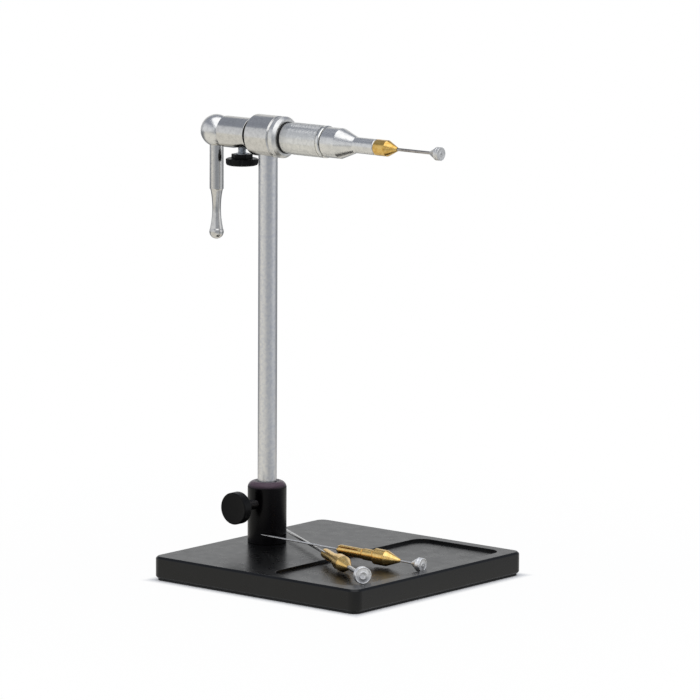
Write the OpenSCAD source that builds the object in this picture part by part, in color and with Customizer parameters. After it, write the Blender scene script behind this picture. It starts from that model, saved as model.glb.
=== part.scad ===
// Rotary vise for tying flies on tubes, on a flat pedestal, with two spare mandrels in its tray.
// X runs along the head towards the mandrel and Z is up. The origin is the middle of the face
// that the vise stands on.

/* [Base plate] */
// Side of the square plate
plate_w = 130; // [126:1:150]
// Thickness of the plate without its pad
plate_t = 11; // [9:0.5:16]
// Radius of the plate's upright corners
plate_corner_r = 5; // [3:0.5:18]
// Chamfer round the plate's top and bottom edges
plate_chamfer = 1; // [0.4:0.1:2]
// Thickness of the rubber pad under the plate
pad_t = 1; // [0.6:0.1:3]
// How far the pad's edge stays inside the plate's edge
pad_inset = 1.25; // [1:0.25:4]

/* [Tray] */
// Width of the rim in front of the tray, at the plate's front edge
tray_front_rim = 7.5; // [5:0.5:12]
// Width of the rim at each side of the tray
tray_side_rim = 7; // [5:0.5:14]
// Length of the tray from its front wall to its back wall
tray_len = 52.5; // [40:0.5:60]
// Depth of the tray
tray_depth = 1.5; // [1:0.1:2.5]
// Radius of the tray's corners
tray_corner_r = 7; // [3:0.5:12]

/* [Post and socket] */
// Distance from the plate's back edge to the post's axis
post_inset = 19; // [15:0.5:24]
// Diameter of the post
post_d = 9.5; // [8:0.25:10]
// Height of the head's axis above the standing face
axis_h = 215.3; // [180:1:260]
// Diameter of the socket that holds the post
socket_d = 19.4; // [19:0.2:24]
// Height of the socket above the plate
socket_h = 31; // [26:0.5:40]
// Radius of the socket's rounded top edge
socket_round = 3.4; // [1:0.2:3.4]
// Thickness of the solid floor inside the socket
socket_floor = 5; // [4:0.5:8]
// Wall of the split liner between the socket and the post
liner_wall = 1.2; // [0.8:0.1:1.4]
// Width of the liner's slit
liner_slit = 1.2; // [0.6:0.1:2]
// Diameter of the screw that holds the socket to the plate
base_screw_d = 6; // [4:0.5:8]
// Depth of the base screw's thread in the socket's floor
base_screw_grip = 4; // [2.5:0.5:4]

/* [Lock screw] */
// Height of the lock screw's axis above the plate
lock_h = 20.3; // [14:0.5:22]
// Diameter of the lock screw's stud
lock_stud_d = 5; // [4:0.5:6]
// Length of the shoe that the stud presses on the liner
lock_shoe_len = 1.8; // [1.2:0.2:2.4]
// Diameter of the lock knob
lock_knob_d = 16; // [12:0.5:22]
// Thickness of the lock knob's disc
lock_knob_t = 5; // [3:0.5:8]
// Distance from the socket's wall to the back of the lock knob's disc
lock_knob_gap = 11.3; // [8:0.5:16]
// Length of the tapered hub behind the lock knob's disc
lock_hub_len = 5; // [3:0.5:6]

/* [Housing] */
// Diameter of the main housing and of the ring in front of it
housing_d = 20.5; // [19:0.5:26]
// Length of the main housing, centred on the post
housing_len = 16; // [14:0.5:20]
// Chamfer at the housing's ends
housing_chamfer = 1.1; // [0.4:0.1:1.4]
// Distance from the head's axis down to the post's top
post_top_drop = 7.1; // [7.1:0.1:7.5]
// Diameter of the cross dowel that fixes the post
dowel_d = 1.8; // [1.2:0.1:2]
// Diameter of the rear sleeve
sleeve_d = 15.6; // [15:0.1:17]
// Length of the rear sleeve behind the housing
sleeve_len = 20.2; // [18:0.2:28]
// Chamfer at the sleeve's rear edge
sleeve_chamfer = 1; // [0.4:0.1:1.4]
// Length of the sleeve's spigot inside the housing
spigot_len = 8; // [5:0.5:8]
// Outer diameter of the bushes and of the sleeve's spigot
bush_d = 12; // [11.5:0.1:12.2]
// Length of the rear bush
rear_bush_len = 6; // [3:0.5:6]
// Length of the front ring
ring_len = 4.2; // [3:0.1:6]
// Length of the front ring's chamfered nose
ring_chamfer = 1.6; // [0.6:0.1:2]
// Depth of the front ring's spigot in the housing
ring_spigot_len = 1.5; // [1:0.1:2.5]
// Diameter of the front ring's spigot
ring_spigot_d = 14; // [13:0.2:15]
// Thickness of the black friction ring
friction_ring_t = 0.6; // [0.4:0.1:1.5]
// Diameter of the friction ring
friction_ring_d = 16.3; // [14:0.1:17]

/* [Drag screw] */
// Distance from the post's axis back to the drag screw's axis
drag_back = 16.9; // [16.5:0.1:17.5]
// Diameter of the drag screw's zinc stud
drag_stud_d = 4.2; // [3:0.1:4.4]
// Diameter of the spot face under the sleeve
drag_spot_d = 8.4; // [7.5:0.1:9]
// Depth of the spot face's flat below the head's axis
drag_spot_drop = 7; // [6.6:0.1:7.2]
// Distance from the head's axis down to the drag knob's top
drag_knob_drop = 10.4; // [10:0.1:12]
// Diameter of the small flange on the stud
drag_flange_d = 6; // [5:0.1:7]
// Thickness of that flange
drag_flange_t = 0.5; // [0.3:0.1:0.6]
// Diameter of the drag knob's upper hub
drag_hub_d = 10.9; // [8:0.1:12]
// Height of the upper hub
drag_hub_h = 2.1; // [1:0.1:3]
// Diameter of the drag knob's disc
drag_knob_d = 16.2; // [14:0.1:17]
// Height of the drag knob's disc
drag_knob_h = 3.5; // [2.5:0.1:5]
// Number of notches round the drag knob
drag_notches = 10; // [6:1:16]
// Length of the nylon shoe that rubs on the spindle
drag_shoe_len = 1.4; // [1:0.1:1.8]

/* [Crank] */
// Distance from the post's axis back to the middle of the crank's ball
ball_back = 33.5; // [33:0.1:34.5]
// Diameter of the crank's ball
ball_d = 16; // [14.5:0.1:17]
// Depth of the handle's seat below the head's axis
handle_seat_drop = 6.6; // [6.2:0.1:6.8]
// Diameter of the handle's upper, straight part
handle_d = 7; // [6:0.1:8]
// Distance from the head's axis to the lower end of the straight part
handle_straight_drop = 29.1; // [24:0.1:34]
// Diameter of the handle's shoulder, just below the straight part
handle_shoulder_d = 6.3; // [6:0.1:6.6]
// Diameter of the handle's waist
waist_d = 4.3; // [3.5:0.1:4.8]
// Distance from the straight part's end to the waist
waist_drop = 9.6; // [8:0.1:12]
// Distance from the waist to the middle of the bulb
bulb_drop = 11.9; // [10:0.1:14]
// Diameter of the bulb
bulb_d = 7.2; // [6.6:0.1:9]
// Diameter of the handle's threaded end in the ball
handle_spigot_d = 4; // [3:0.2:5]

/* [Spindle and chuck] */
// Diameter of the spindle where it runs in the bushes
spindle_d = 8; // [7:0.1:8.2]
// Diameter of the spindle's barrel inside the grip
barrel_d = 11.2; // [10.8:0.1:11.6]
// Depth of the chamber in the barrel for the closer
chamber_len = 24; // [22:0.5:26]
// Diameter of the closer
closer_d = 7.3; // [7:0.1:7.6]
// Diameter of the hole for mandrel tails
tail_hole_d = 3.4; // [2.6:0.1:3.6]
// Diameter of the closer's two dogs
dog_d = 2; // [1.5:0.1:2.4]
// How far the closer draws back when the grip is undone
closer_travel = 1.5; // [0.5:0.1:2]
// Diameter of the knurled grip
grip_d = 15.9; // [15.6:0.1:17]
// Diameter of the grip's rear end
grip_rear_d = 15; // [14.6:0.1:15.4]
// Length of the knurled grip
grip_len = 25.4; // [24:0.2:28]
// Length of the grip's tapered rear part
grip_taper_len = 5; // [2:0.2:7]
// Width of the smooth band at the grip's front end
grip_band = 1.6; // [1:0.1:2.5]
// Width and depth of the groove beside that band
grip_groove = 0.4; // [0.2:0.05:0.5]
// Diameter of the nose's rear cylinder
nose_d = 14.9; // [14.4:0.1:16]
// Length of the nose's rear cylinder
nose_cyl_len = 8.9; // [8:0.1:12]
// Length of the nose's cone
nose_cone_len = 9.2; // [7:0.1:12]
// Diameter of the nose's neck
neck_d = 7.8; // [7.4:0.1:9]
// Length of the nose's neck
neck_len = 12.7; // [11:0.1:16]

/* [Collets] */
// Diameter of each collet's head
collet_d = 7.9; // [7.2:0.1:8.4]
// Length of the straight part of each collet's head
collet_head_len = 6.8; // [4:0.1:9]
// Length of the cone on the fitted collet
collet_cone_len = 6; // [4:0.1:9]
// Length of the cone on the spare collets
spare_cone_len = 8.3; // [5:0.1:10]
// Diameter of each collet's guide collar
collar_d = 5.7; // [5.4:0.1:6]
// Length of the guide collar
collar_len = 6; // [4:0.1:7]
// Width of the groove between the collar and the head
collar_groove = 0.8; // [0.5:0.1:1.2]
// Diameter of each collet's slotted shank
shank_d = 5; // [4.6:0.1:5.2]
// Length of the slotted shank
shank_len = 15.4; // [12:0.1:16]
// Width of the slots in the shank
shank_slot_w = 0.8; // [0.5:0.1:1.2]
// Length of the slots in the shank
shank_slot_len = 12.5; // [8:0.1:13]

/* [Mandrels] */
// Diameter of the fitted mandrel's pin
pin_d = 1.5; // [1:0.1:2.2]
// Length of the fitted mandrel from its tail to its face
pin_len = 100; // [92:1:112]
// Distance from the collet's tip to the face of the fitted mandrel's disc
mandrel_reach = 27; // [20:0.5:35]
// Diameter of the fitted mandrel's disc
disc_d = 6.5; // [5:0.1:9]
// Thickness of each disc's rim
disc_rim = 3; // [2:0.1:4]
// Length of the cone behind each disc
disc_back = 3.5; // [2:0.1:5]
// Diameter of the spare needle
needle_d = 1; // [0.8:0.1:1.4]
// Length of the spare needle from its point to its face
needle_len = 98; // [90:1:100]
// Distance from the needle's collet tip to its disc's face
needle_reach = 13.3; // [9:0.1:18]
// Diameter of the needle's disc
needle_disc_d = 6.8; // [6:0.1:8]
// Diameter of the spare long rod
rod_d = 1.5; // [1.2:0.1:1.8]
// Diameter of the long rod's thicker front part
rod_front_d = 2.2; // [2:0.1:2.6]
// Length of the long rod from its tail to its face
rod_len = 124; // [118:1:130]
// Length of the long rod's thicker front part
rod_front_len = 34; // [30:1:50]
// Distance from the long rod's collet tip to its disc's face
rod_reach = 21.4; // [16:0.1:26]
// Diameter of the long rod's disc
rod_disc_d = 8.4; // [8:0.1:10]

/* [Places of the spares] */
// Gap from the tray's front wall to the needle's disc
needle_front_gap = 0.6; // [0.6:0.1:6]
// Distance from the plate's middle line to the needle's disc
needle_side = 4; // [0:0.1:10]
// Gap between the socket and the needle's middle line
needle_socket_gap = 1.3; // [1:0.1:4]
// Gap from the tray's front wall to the long rod's disc
rod_front_gap = 3.5; // [3.5:0.1:10]
// Gap from the tray's side wall to the middle of the long rod's disc
rod_side_gap = 11.9; // [8:0.1:16]
// Gap between the socket and the long rod's middle line
rod_socket_gap = 3.8; // [2:0.1:6]

/* [Fits] */
// Gap all round between pieces that stay together
fixed_gap = 0.01; // [0.005:0.005:0.03]
// Gap all round between pieces that turn or slide in each other
run_gap = 0.05; // [0.02:0.01:0.08]
// Gap between faces that pass each other
face_gap = 0.1; // [0.05:0.05:0.2]
// Gap under a piece that lies loose
rest_gap = 0.3; // [0.2:0.05:0.4]
// Small chamfer on turned edges
edge = 0.3; // [0.15:0.05:0.4]

/* [Hidden] */
$fn = 96;

// Cuts run past the faces that they open by this much
over = edge;

// Heights and places on the base
plate_top = pad_t + plate_t;
tray_floor = plate_top - tray_depth;
tray_front = plate_w / 2 - tray_front_rim;
tray_back = tray_front - tray_len;
tray_side = plate_w / 2 - tray_side_rim;
post_x = post_inset - plate_w / 2;
socket_bottom = plate_top + socket_floor;
socket_r = socket_d / 2;
post_r = post_d / 2;
liner_in_r = post_r + run_gap;
liner_r = liner_in_r + liner_wall;
socket_bore_r = liner_r + run_gap;
lock_z = plate_top + lock_h;
lock_stud_r = lock_stud_d / 2;
lock_shoe_y = liner_r + run_gap;
lock_stud_y = lock_shoe_y + lock_shoe_len;
lock_disc_y = socket_r + lock_knob_gap;
lock_face_y = lock_disc_y + lock_knob_t;
base_screw_r = base_screw_d / 2;
base_head_z = pad_t + face_gap;

// Stations along the head, counted from the post's axis, and its radii
housing_r = housing_d / 2;
half_len = housing_len / 2;
bush_r = bush_d / 2;
bush_bore_r = bush_r + fixed_gap;
spindle_r = spindle_d / 2;
spindle_bore_r = spindle_r + run_gap;
sleeve_r = sleeve_d / 2;
sleeve_rear = -half_len - sleeve_len;
relief_r = spindle_r + 2 * edge;
ring_r = ring_spigot_d / 2;
ring_front = half_len + ring_len;
friction_front = ring_front + friction_ring_t;
shoulder_rear = friction_front + run_gap;
grip_rear = friction_front + face_gap;
grip_front = grip_rear + grip_len;
nose_rear = grip_front + face_gap;
nose_cone = nose_rear + nose_cyl_len;
neck_rear = nose_cone + nose_cone_len;
neck_front = neck_rear + neck_len;
nose_r = nose_d / 2;
neck_r = neck_d / 2;
ball_r = ball_d / 2;
ball_face = sleeve_rear - face_gap;
spindle_rear = -ball_back - spindle_r;
barrel_r = barrel_d / 2;
barrel_front = nose_cone - edge;
chamber_r = closer_d / 2 + run_gap;
tail_hole_r = tail_hole_d / 2;
dog_r = dog_d / 2;
dog_gap = 3 * rest_gap;
grip_relief_r = barrel_r + dog_gap + run_gap;
grip_r = grip_d / 2;
collar_r = collar_d / 2;
shank_r = shank_d / 2;
collet_r = collet_d / 2;
pin_r = pin_d / 2;
needle_r = needle_d / 2;
rod_r = rod_d / 2;
rod_front_r = rod_front_d / 2;
collet_head_from = shank_len + collar_len + collar_groove;
collet_rear = neck_front + run_gap - collet_head_from;
finger_taper = shank_r / 2;
finger_r = shank_r - finger_taper / 2;
closer_front = collet_rear + 2 * finger_taper;
closer_rear = barrel_front - chamber_len + closer_travel + 2 * edge;
dog_u = closer_rear + 2 * dog_d;
collet_tip = collet_rear + collet_head_from + collet_head_len + collet_cone_len;
mandrel_face = collet_tip + mandrel_reach;
dowel_drop = (housing_r + post_top_drop) / 2;
drag_stud_r = drag_stud_d / 2;
drag_shoe_top = spindle_r + run_gap;
drag_stud_top = drag_shoe_top + drag_shoe_len;

// Centre of the round hollow at the handle's waist, and the hollow's radius. The hollow
// meets the shoulder's edge at the straight part's end.
shoulder_r = handle_shoulder_d / 2;
waist_r = waist_d / 2;
waist_rise = shoulder_r - waist_r;
hollow_r = (waist_drop * waist_drop + waist_rise * waist_rise) / (2 * waist_rise);
waist_z = handle_straight_drop + waist_drop;
bulb_z = waist_z + bulb_drop;
bulb_r = bulb_d / 2;

// Each spare lies along a line that touches a circle round the socket, so that the rod passes
// behind the socket and the needle in front of it
needle_x = tray_front - needle_front_gap;
needle_y = -needle_side;
rod_x = tray_front - rod_front_gap;
rod_y = rod_side_gap - tray_side;
function bearing(x, y) = atan2(-y, post_x - x);
function sideways(x, y, gap) = asin((socket_r + gap) / norm([post_x - x, y]));
needle_tail_dir = bearing(needle_x, needle_y) + sideways(needle_x, needle_y, needle_socket_gap);
rod_tail_dir = bearing(rod_x, rod_y) - sideways(rod_x, rod_y, rod_socket_gap);
needle_yaw = needle_tail_dir - 180;
rod_yaw = rod_tail_dir - 180;
// Distance along a spare, which lies in direction dir, to the place where the two cross
function cross_at(dir) = ((rod_x - needle_x) * sin(dir) - (rod_y - needle_y) * cos(dir))
                         / sin(rod_tail_dir - needle_tail_dir);
needle_cross = cross_at(rod_tail_dir);
rod_cross = cross_at(needle_tail_dir);
rod_z = tray_floor + rest_gap + max(rod_disc_d, collet_d) / 2;
needle_z = tray_floor + rest_gap + needle_disc_d / 2;
// Radius of a spare near the crossing: that of its collet's head, of its collar, or of the bare
// pin where the collet ends well before the crossing
spare_head_end = spare_cone_len + collet_head_len;
spare_collet_len = spare_head_end + collet_head_from;
function bulk(cross, reach, bare_r) =
    cross < reach + spare_head_end + collet_d ? collet_r :
    cross < reach + spare_collet_len + collet_d ? collar_r : bare_r;
cross_z = rod_z + bulk(rod_cross, rod_reach, rod_r) + rest_gap
          + bulk(needle_cross, needle_reach, needle_r);
needle_tilt = atan((cross_z - needle_z) / needle_cross);

// A turned piece about its own X axis, from points of station and radius
module turned(points)
    rotate([0, 90, 0])
        rotate_extrude()
            polygon([for (p = points) [p[1], p[0]]]);

// Moves pieces from the head's own frame, with stations counted from the post's axis
module on_head()
    translate([post_x, 0, axis_h])
        children();

// A rectangle with round corners, as an exact union of squares and circles
module round_plan(x0, x1, y0, y1, r) {
    translate([x0 + r, y0])
        square([x1 - x0 - 2 * r, y1 - y0]);
    translate([x0, y0 + r])
        square([x1 - x0, y1 - y0 - 2 * r]);
    for (x = [x0 + r, x1 - r], y = [y0 + r, y1 - r])
        translate([x, y])
            circle(r);
}

// Section through the plate from edge to edge, w wide, with its chamfers
module plate_section(w) {
    c = plate_chamfer;
    polygon([[-w / 2 + c, 0], [w / 2 - c, 0], [w / 2, c], [w / 2, plate_t - c], [w / 2 - c, plate_t],
             [c - w / 2, plate_t], [-w / 2, plate_t - c], [-w / 2, c]]);
}

// The plate before any cuts: two crossing slabs and four round corner posts
module plate_blank() {
    span = plate_w - 2 * plate_corner_r;
    for (turn = [0, 90])
        rotate([0, 0, turn])
            rotate([90, 0, 0])
                linear_extrude(span, center = true)
                    plate_section(plate_w);
    for (x = [-span / 2, span / 2], y = [-span / 2, span / 2])
        translate([x, y, 0])
            rotate_extrude()
                intersection() {
                    plate_section(2 * plate_corner_r);
                    square([plate_corner_r, plate_t]);
                }
}

// Metal plate with its shallow tray and the countersunk hole under the socket
module base_plate()
    color("#2b292b")
        difference() {
            translate([0, 0, pad_t])
                plate_blank();
            translate([0, 0, tray_floor])
                linear_extrude(tray_depth + over)
                    round_plan(tray_back, tray_front, -tray_side, tray_side, tray_corner_r);
            translate([post_x, 0, pad_t - over])
                cylinder(r = base_screw_r + run_gap, h = plate_t + 2 * over);
            translate([post_x, 0, pad_t])
                cylinder(r1 = base_screw_d + run_gap, r2 = base_screw_r + run_gap, h = base_screw_r);
        }

// Black rubber sheet stuck under the plate, over the screw
module rubber_pad()
    color("#141414")
        linear_extrude(pad_t)
            round_plan(pad_inset - plate_w / 2, plate_w / 2 - pad_inset,
                       pad_inset - plate_w / 2, plate_w / 2 - pad_inset, plate_corner_r - pad_inset);

// Upright cup for the post, with a round top edge
module post_socket()
    color("#1d1a20")
        difference() {
            translate([post_x, 0, plate_top])
                rotate_extrude()
                    difference() {
                        union() {
                            square([socket_r, socket_h - socket_round]);
                            square([socket_r - socket_round, socket_h]);
                            translate([socket_r - socket_round, socket_h - socket_round])
                                circle(socket_round);
                        }
                        translate([-socket_r, 0])
                            square([socket_r, socket_h]);
                        translate([-over, socket_floor])
                            square([socket_bore_r + over, socket_h]);
                        translate([-over, -over])
                            square([base_screw_r + fixed_gap + over, socket_floor + 2 * over]);
                    }
            translate([post_x, 0, lock_z])
                rotate([90, 0, 0])
                    cylinder(r = lock_stud_r + run_gap, h = socket_d);
        }

// Countersunk screw with a hexagon recess, up through the plate into the socket's floor
module socket_screw() {
    tip = plate_top + base_screw_grip;
    color("#6d6f73")
        difference() {
            translate([post_x, 0, 0])
                rotate([0, -90, 0])
                    turned([[base_head_z, 0], [base_head_z, base_screw_d - face_gap],
                            [pad_t + base_screw_r, base_screw_r], [tip - edge, base_screw_r],
                            [tip, base_screw_r - edge], [tip, 0]]);
            translate([post_x, 0, base_head_z - over])
                cylinder(r = 0.75 * base_screw_r, h = base_screw_r + over, $fn = 6);
        }
}

// Split sleeve that turns in the socket with the post and that the lock screw squeezes
module post_liner()
    color("#3a3a3c")
        translate([post_x, 0, socket_bottom])
            difference() {
                cylinder(r = liner_r, h = socket_h - socket_floor);
                translate([0, 0, -over])
                    cylinder(r = liner_in_r, h = socket_h);
                translate([0, -liner_slit / 2, -over])
                    cube([socket_d, liner_slit, socket_h]);
            }

// Places a piece of the lock screw, whose own X axis then points away from the socket
module on_lock()
    translate([post_x, 0, lock_z])
        rotate([0, 0, -90])
            children();

// Brass slug between the stud and the liner
module lock_shoe()
    color("#b8923f")
        on_lock()
            turned([[lock_shoe_y, 0], [lock_shoe_y, lock_stud_r - edge],
                    [lock_shoe_y + edge, lock_stud_r], [lock_stud_y, lock_stud_r], [lock_stud_y, 0]]);

// Steel stud from the shoe into the knob
module lock_stud()
    color("#9a9c9f")
        on_lock()
            turned([[lock_stud_y + run_gap, 0], [lock_stud_y + run_gap, lock_stud_r - edge],
                    [lock_stud_y + run_gap + edge, lock_stud_r], [lock_disc_y, lock_stud_r],
                    [lock_disc_y, 0]]);

// Black knob with a flat face and a tapered hub
module lock_knob() {
    knob_r = lock_knob_d / 2;
    hub_r = lock_stud_d - 2 * edge;
    bore_r = lock_stud_r + fixed_gap;
    hub_y = lock_disc_y - lock_hub_len;
    color("#1b1b1c")
        on_lock()
            turned([[hub_y, bore_r], [hub_y, hub_r - lock_hub_len / 4], [lock_disc_y, hub_r],
                    [lock_disc_y, knob_r - edge], [lock_disc_y + edge, knob_r],
                    [lock_face_y - 2 * edge, knob_r], [lock_face_y, knob_r - 2 * edge],
                    [lock_face_y, 0], [lock_disc_y, 0], [lock_disc_y, bore_r]]);
}

// Round bar from the socket's floor up into the housing, cross-drilled for the dowel
module post() {
    foot = socket_bottom + face_gap;
    top = axis_h - post_top_drop;
    color("#b8b6b0")
        difference() {
            translate([post_x, 0, 0])
                rotate([0, -90, 0])
                    turned([[foot, 0], [foot, post_r - 2 * edge], [foot + 2 * edge, post_r],
                            [top - edge, post_r], [top, post_r - edge], [top, 0]]);
            translate([post_x - post_d, 0, axis_h - dowel_drop])
                rotate([0, 90, 0])
                    cylinder(d = dowel_d + 2 * fixed_gap, h = 2 * post_d);
        }
}

// Short round body on the post's top, bored for the bush and the sleeve's spigot
module main_housing() {
    c = housing_chamfer;
    pocket = half_len - ring_spigot_len;
    color("#b8b6b0")
        on_head()
            difference() {
                turned([[-half_len, bush_bore_r], [-half_len, housing_r - c], [c - half_len, housing_r],
                        [half_len - c, housing_r], [half_len, housing_r - c],
                        [half_len, ring_r + fixed_gap], [pocket, ring_r + fixed_gap],
                        [pocket, bush_bore_r]]);
                translate([0, 0, -housing_d])
                    cylinder(r = post_r + fixed_gap, h = housing_d - post_top_drop);
                translate([-post_r - 2 * edge, 0, -dowel_drop])
                    rotate([0, 90, 0])
                        cylinder(d = dowel_d + 2 * fixed_gap, h = housing_len);
            }
}

// Dowel through the housing's lower wall and the post's top, hidden behind the front ring
module post_dowel()
    color("#8f9195")
        on_head()
            translate([-post_r - edge, 0, -dowel_drop])
                rotate([0, 90, 0])
                    cylinder(d = dowel_d, h = post_r + half_len);

// Tube behind the housing that carries the rear bush and the drag screw
module rear_sleeve() {
    c = sleeve_chamfer;
    spigot = spigot_len - half_len;
    pocket = sleeve_rear + rear_bush_len;
    color("#b8b6b0")
        on_head()
            difference() {
                turned([[sleeve_rear, bush_bore_r], [sleeve_rear, sleeve_r - c],
                        [sleeve_rear + c, sleeve_r], [-half_len - 2 * edge, sleeve_r],
                        [-half_len, sleeve_r - 2 * edge], [-half_len, bush_r], [spigot, bush_r],
                        [spigot, relief_r], [pocket, relief_r], [pocket, bush_bore_r]]);
                translate([-drag_back, 0, -sleeve_d])
                    cylinder(r = drag_stud_r + run_gap, h = sleeve_d);
                translate([-drag_back, 0, -sleeve_d])
                    cylinder(d = drag_spot_d, h = sleeve_d - drag_spot_drop);
            }
}

// Plain bearing bush between two stations
module bush(from, to)
    color("#a5813c")
        on_head()
            turned([[from, spindle_bore_r], [from, bush_r], [to, bush_r], [to, spindle_bore_r]]);

module rear_bush()
    bush(sleeve_rear, sleeve_rear + rear_bush_len);

module front_bush()
    bush(spigot_len - half_len, half_len - ring_spigot_len);

// Ring that closes the housing's front, with a chamfered nose
module front_ring() {
    bore_r = spindle_r + edge;
    spigot = half_len - ring_spigot_len;
    color("#c4c2bd")
        on_head()
            turned([[spigot, bore_r], [spigot, ring_r], [half_len, ring_r],
                    [half_len, housing_r - edge], [half_len + edge, housing_r],
                    [ring_front - ring_chamfer, housing_r],
                    [ring_front, housing_r - 0.75 * ring_chamfer], [ring_front, bore_r]]);
}

// Black washer that rubs on the spindle's shoulder and the grip
module friction_ring() {
    r = friction_ring_d / 2;
    bore_r = spindle_r + edge;
    lip = friction_ring_t / 4;
    color("#101010")
        on_head()
            turned([[ring_front, bore_r], [ring_front, r - lip], [ring_front + lip, r],
                    [friction_front - lip, r], [friction_front, r - lip], [friction_front, bore_r]]);
}

// Places a piece of the drag screw, whose own X axis then points down
module on_drag()
    on_head()
        translate([-drag_back, 0, 0])
            rotate([0, 90, 0])
                children();

// Nylon slug between the drag screw and the spindle
module drag_shoe() {
    r = drag_stud_r - edge;
    color("#d8d6cf")
        on_drag()
            turned([[drag_shoe_top, 0], [drag_shoe_top, r], [drag_stud_top, r], [drag_stud_top, 0]]);
}

// Zinc stud with a small flange on top of the knob
module drag_stud() {
    top = drag_stud_top + run_gap;
    flange_r = drag_flange_d / 2;
    foot = drag_knob_drop + drag_hub_h + drag_knob_h / 2;
    color("#b4b6ba")
        on_drag()
            turned([[top, 0], [top, drag_stud_r - edge], [top + edge, drag_stud_r],
                    [drag_knob_drop - drag_flange_t, drag_stud_r],
                    [drag_knob_drop - drag_flange_t, flange_r], [drag_knob_drop, flange_r],
                    [drag_knob_drop, drag_stud_r], [foot, drag_stud_r], [foot, 0]]);
}

// Black knob with a hub above and a notched disc below
module drag_knob() {
    bore_r = drag_stud_r + fixed_gap;
    hub_r = drag_hub_d / 2;
    knob_r = drag_knob_d / 2;
    disc_top = drag_knob_drop + drag_hub_h;
    stud_foot = disc_top + drag_knob_h / 2 + fixed_gap;
    bottom = disc_top + drag_knob_h;
    notch_r = knob_r / 5;
    color("#171717")
        on_drag()
            difference() {
                turned([[drag_knob_drop, bore_r], [drag_knob_drop, hub_r - edge],
                        [drag_knob_drop + edge, hub_r], [disc_top, hub_r], [disc_top, knob_r - edge],
                        [disc_top + edge, knob_r], [bottom - 2 * edge, knob_r],
                        [bottom, knob_r - 2 * edge], [bottom, 0], [stud_foot, 0],
                        [stud_foot, bore_r]]);
                for (i = [0 : drag_notches - 1])
                    rotate([(i + 0.5) * 360 / drag_notches, 0, 0])
                        translate([disc_top - over, 0, knob_r + notch_r - edge])
                            rotate([0, 90, 0])
                                cylinder(r = notch_r, h = drag_knob_h + 2 * over);
            }
}

// Hollow shaft from the crank's ball to the nose, with a long slot for the dogs on each side
module spindle() {
    slot_r = dog_r + run_gap;
    chamber_rear = barrel_front - chamber_len;
    color("#a9aaac")
        on_head()
            difference() {
                turned([[spindle_rear, 0], [spindle_rear, spindle_r], [shoulder_rear, spindle_r],
                        [shoulder_rear, barrel_r], [barrel_front, barrel_r],
                        [barrel_front, chamber_r], [chamber_rear, chamber_r],
                        [chamber_rear, tail_hole_r], [-half_len, tail_hole_r], [-half_len, 0]]);
                for (u = [dog_u - closer_travel, dog_u])
                    translate([u, barrel_d, 0])
                        rotate([90, 0, 0])
                            cylinder(r = slot_r, h = 2 * barrel_d);
                translate([dog_u - closer_travel, -barrel_d, -slot_r])
                    cube([closer_travel, 2 * barrel_d, 2 * slot_r]);
            }
}

// Ball on the spindle's rear end, flat in front, with a seat for the handle
module crank_ball()
    color("#c0beb9")
        on_head()
            difference() {
                translate([-ball_back, 0, 0])
                    sphere(ball_r);
                translate([ball_face, -ball_d, -ball_d])
                    cube(2 * ball_d);
                translate([spindle_rear, 0, 0])
                    rotate([0, 90, 0])
                        cylinder(r = spindle_r + fixed_gap, h = ball_d);
                translate([-ball_back, 0, -ball_d])
                    cylinder(d = handle_d + 2 * run_gap, h = ball_d - handle_seat_drop);
                translate([-ball_back, 0, -ball_d])
                    cylinder(d = handle_spigot_d + 2 * fixed_gap, h = ball_d - spindle_r);
            }

// Turned handle with a waist and a round bulb, whose threaded end bears on the spindle
module crank_handle()
    color("#b5b3ae")
        on_head()
            translate([-ball_back, 0, 0])
                rotate_extrude()
                    difference() {
                        union() {
                            translate([0, -handle_seat_drop])
                                square([handle_spigot_d / 2, handle_seat_drop - spindle_r - fixed_gap]);
                            translate([0, -handle_straight_drop])
                                square([handle_d / 2, handle_straight_drop - handle_seat_drop]);
                            difference() {
                                translate([0, -bulb_z])
                                    square([shoulder_r, bulb_z - handle_straight_drop]);
                                translate([waist_r + hollow_r, -waist_z])
                                    circle(hollow_r, $fn = 4 * $fn);
                            }
                            translate([0, -bulb_z])
                                circle(bulb_r);
                        }
                        translate([-bulb_d, -bulb_z - bulb_d])
                            square([bulb_d, bulb_z + bulb_d]);
                    }

// Nose that screws onto the barrel: cylinder, cone and neck, bored for the collet
module nose() {
    thread_r = barrel_r + fixed_gap;
    guide_r = collar_r + run_gap;
    pocket = closer_front + 2 * edge;
    color("#bdbbb6")
        on_head()
            turned([[nose_rear, thread_r], [nose_rear, nose_r - 1.5 * edge],
                    [nose_rear + 1.5 * edge, nose_r], [nose_cone, nose_r], [neck_rear, neck_r],
                    [neck_front - edge, neck_r], [neck_front, neck_r - edge], [neck_front, guide_r],
                    [pocket, guide_r], [pocket, chamber_r], [barrel_front, chamber_r],
                    [barrel_front, thread_r]]);
}

// Grip that turns on the barrel, with an inner groove where its thread drives the dogs
module knurled_grip() {
    bore_r = barrel_r + run_gap;
    rear_r = grip_rear_d / 2;
    band = grip_front - grip_band;
    groove_rear = dog_u - closer_travel - dog_d;
    groove_front = dog_u + dog_d;
    color("#b2b0ab")
        on_head()
            turned([[grip_rear, bore_r], [grip_rear, rear_r - edge], [grip_rear + edge, rear_r],
                    [grip_rear + grip_taper_len, grip_r], [band - grip_groove, grip_r],
                    [band - grip_groove, grip_r - grip_groove], [band, grip_r - grip_groove],
                    [band, grip_r], [grip_front - edge, grip_r], [grip_front, grip_r - edge],
                    [grip_front, bore_r], [groove_front, bore_r], [groove_front, grip_relief_r],
                    [groove_rear, grip_relief_r], [groove_rear, bore_r]]);
}

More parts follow.
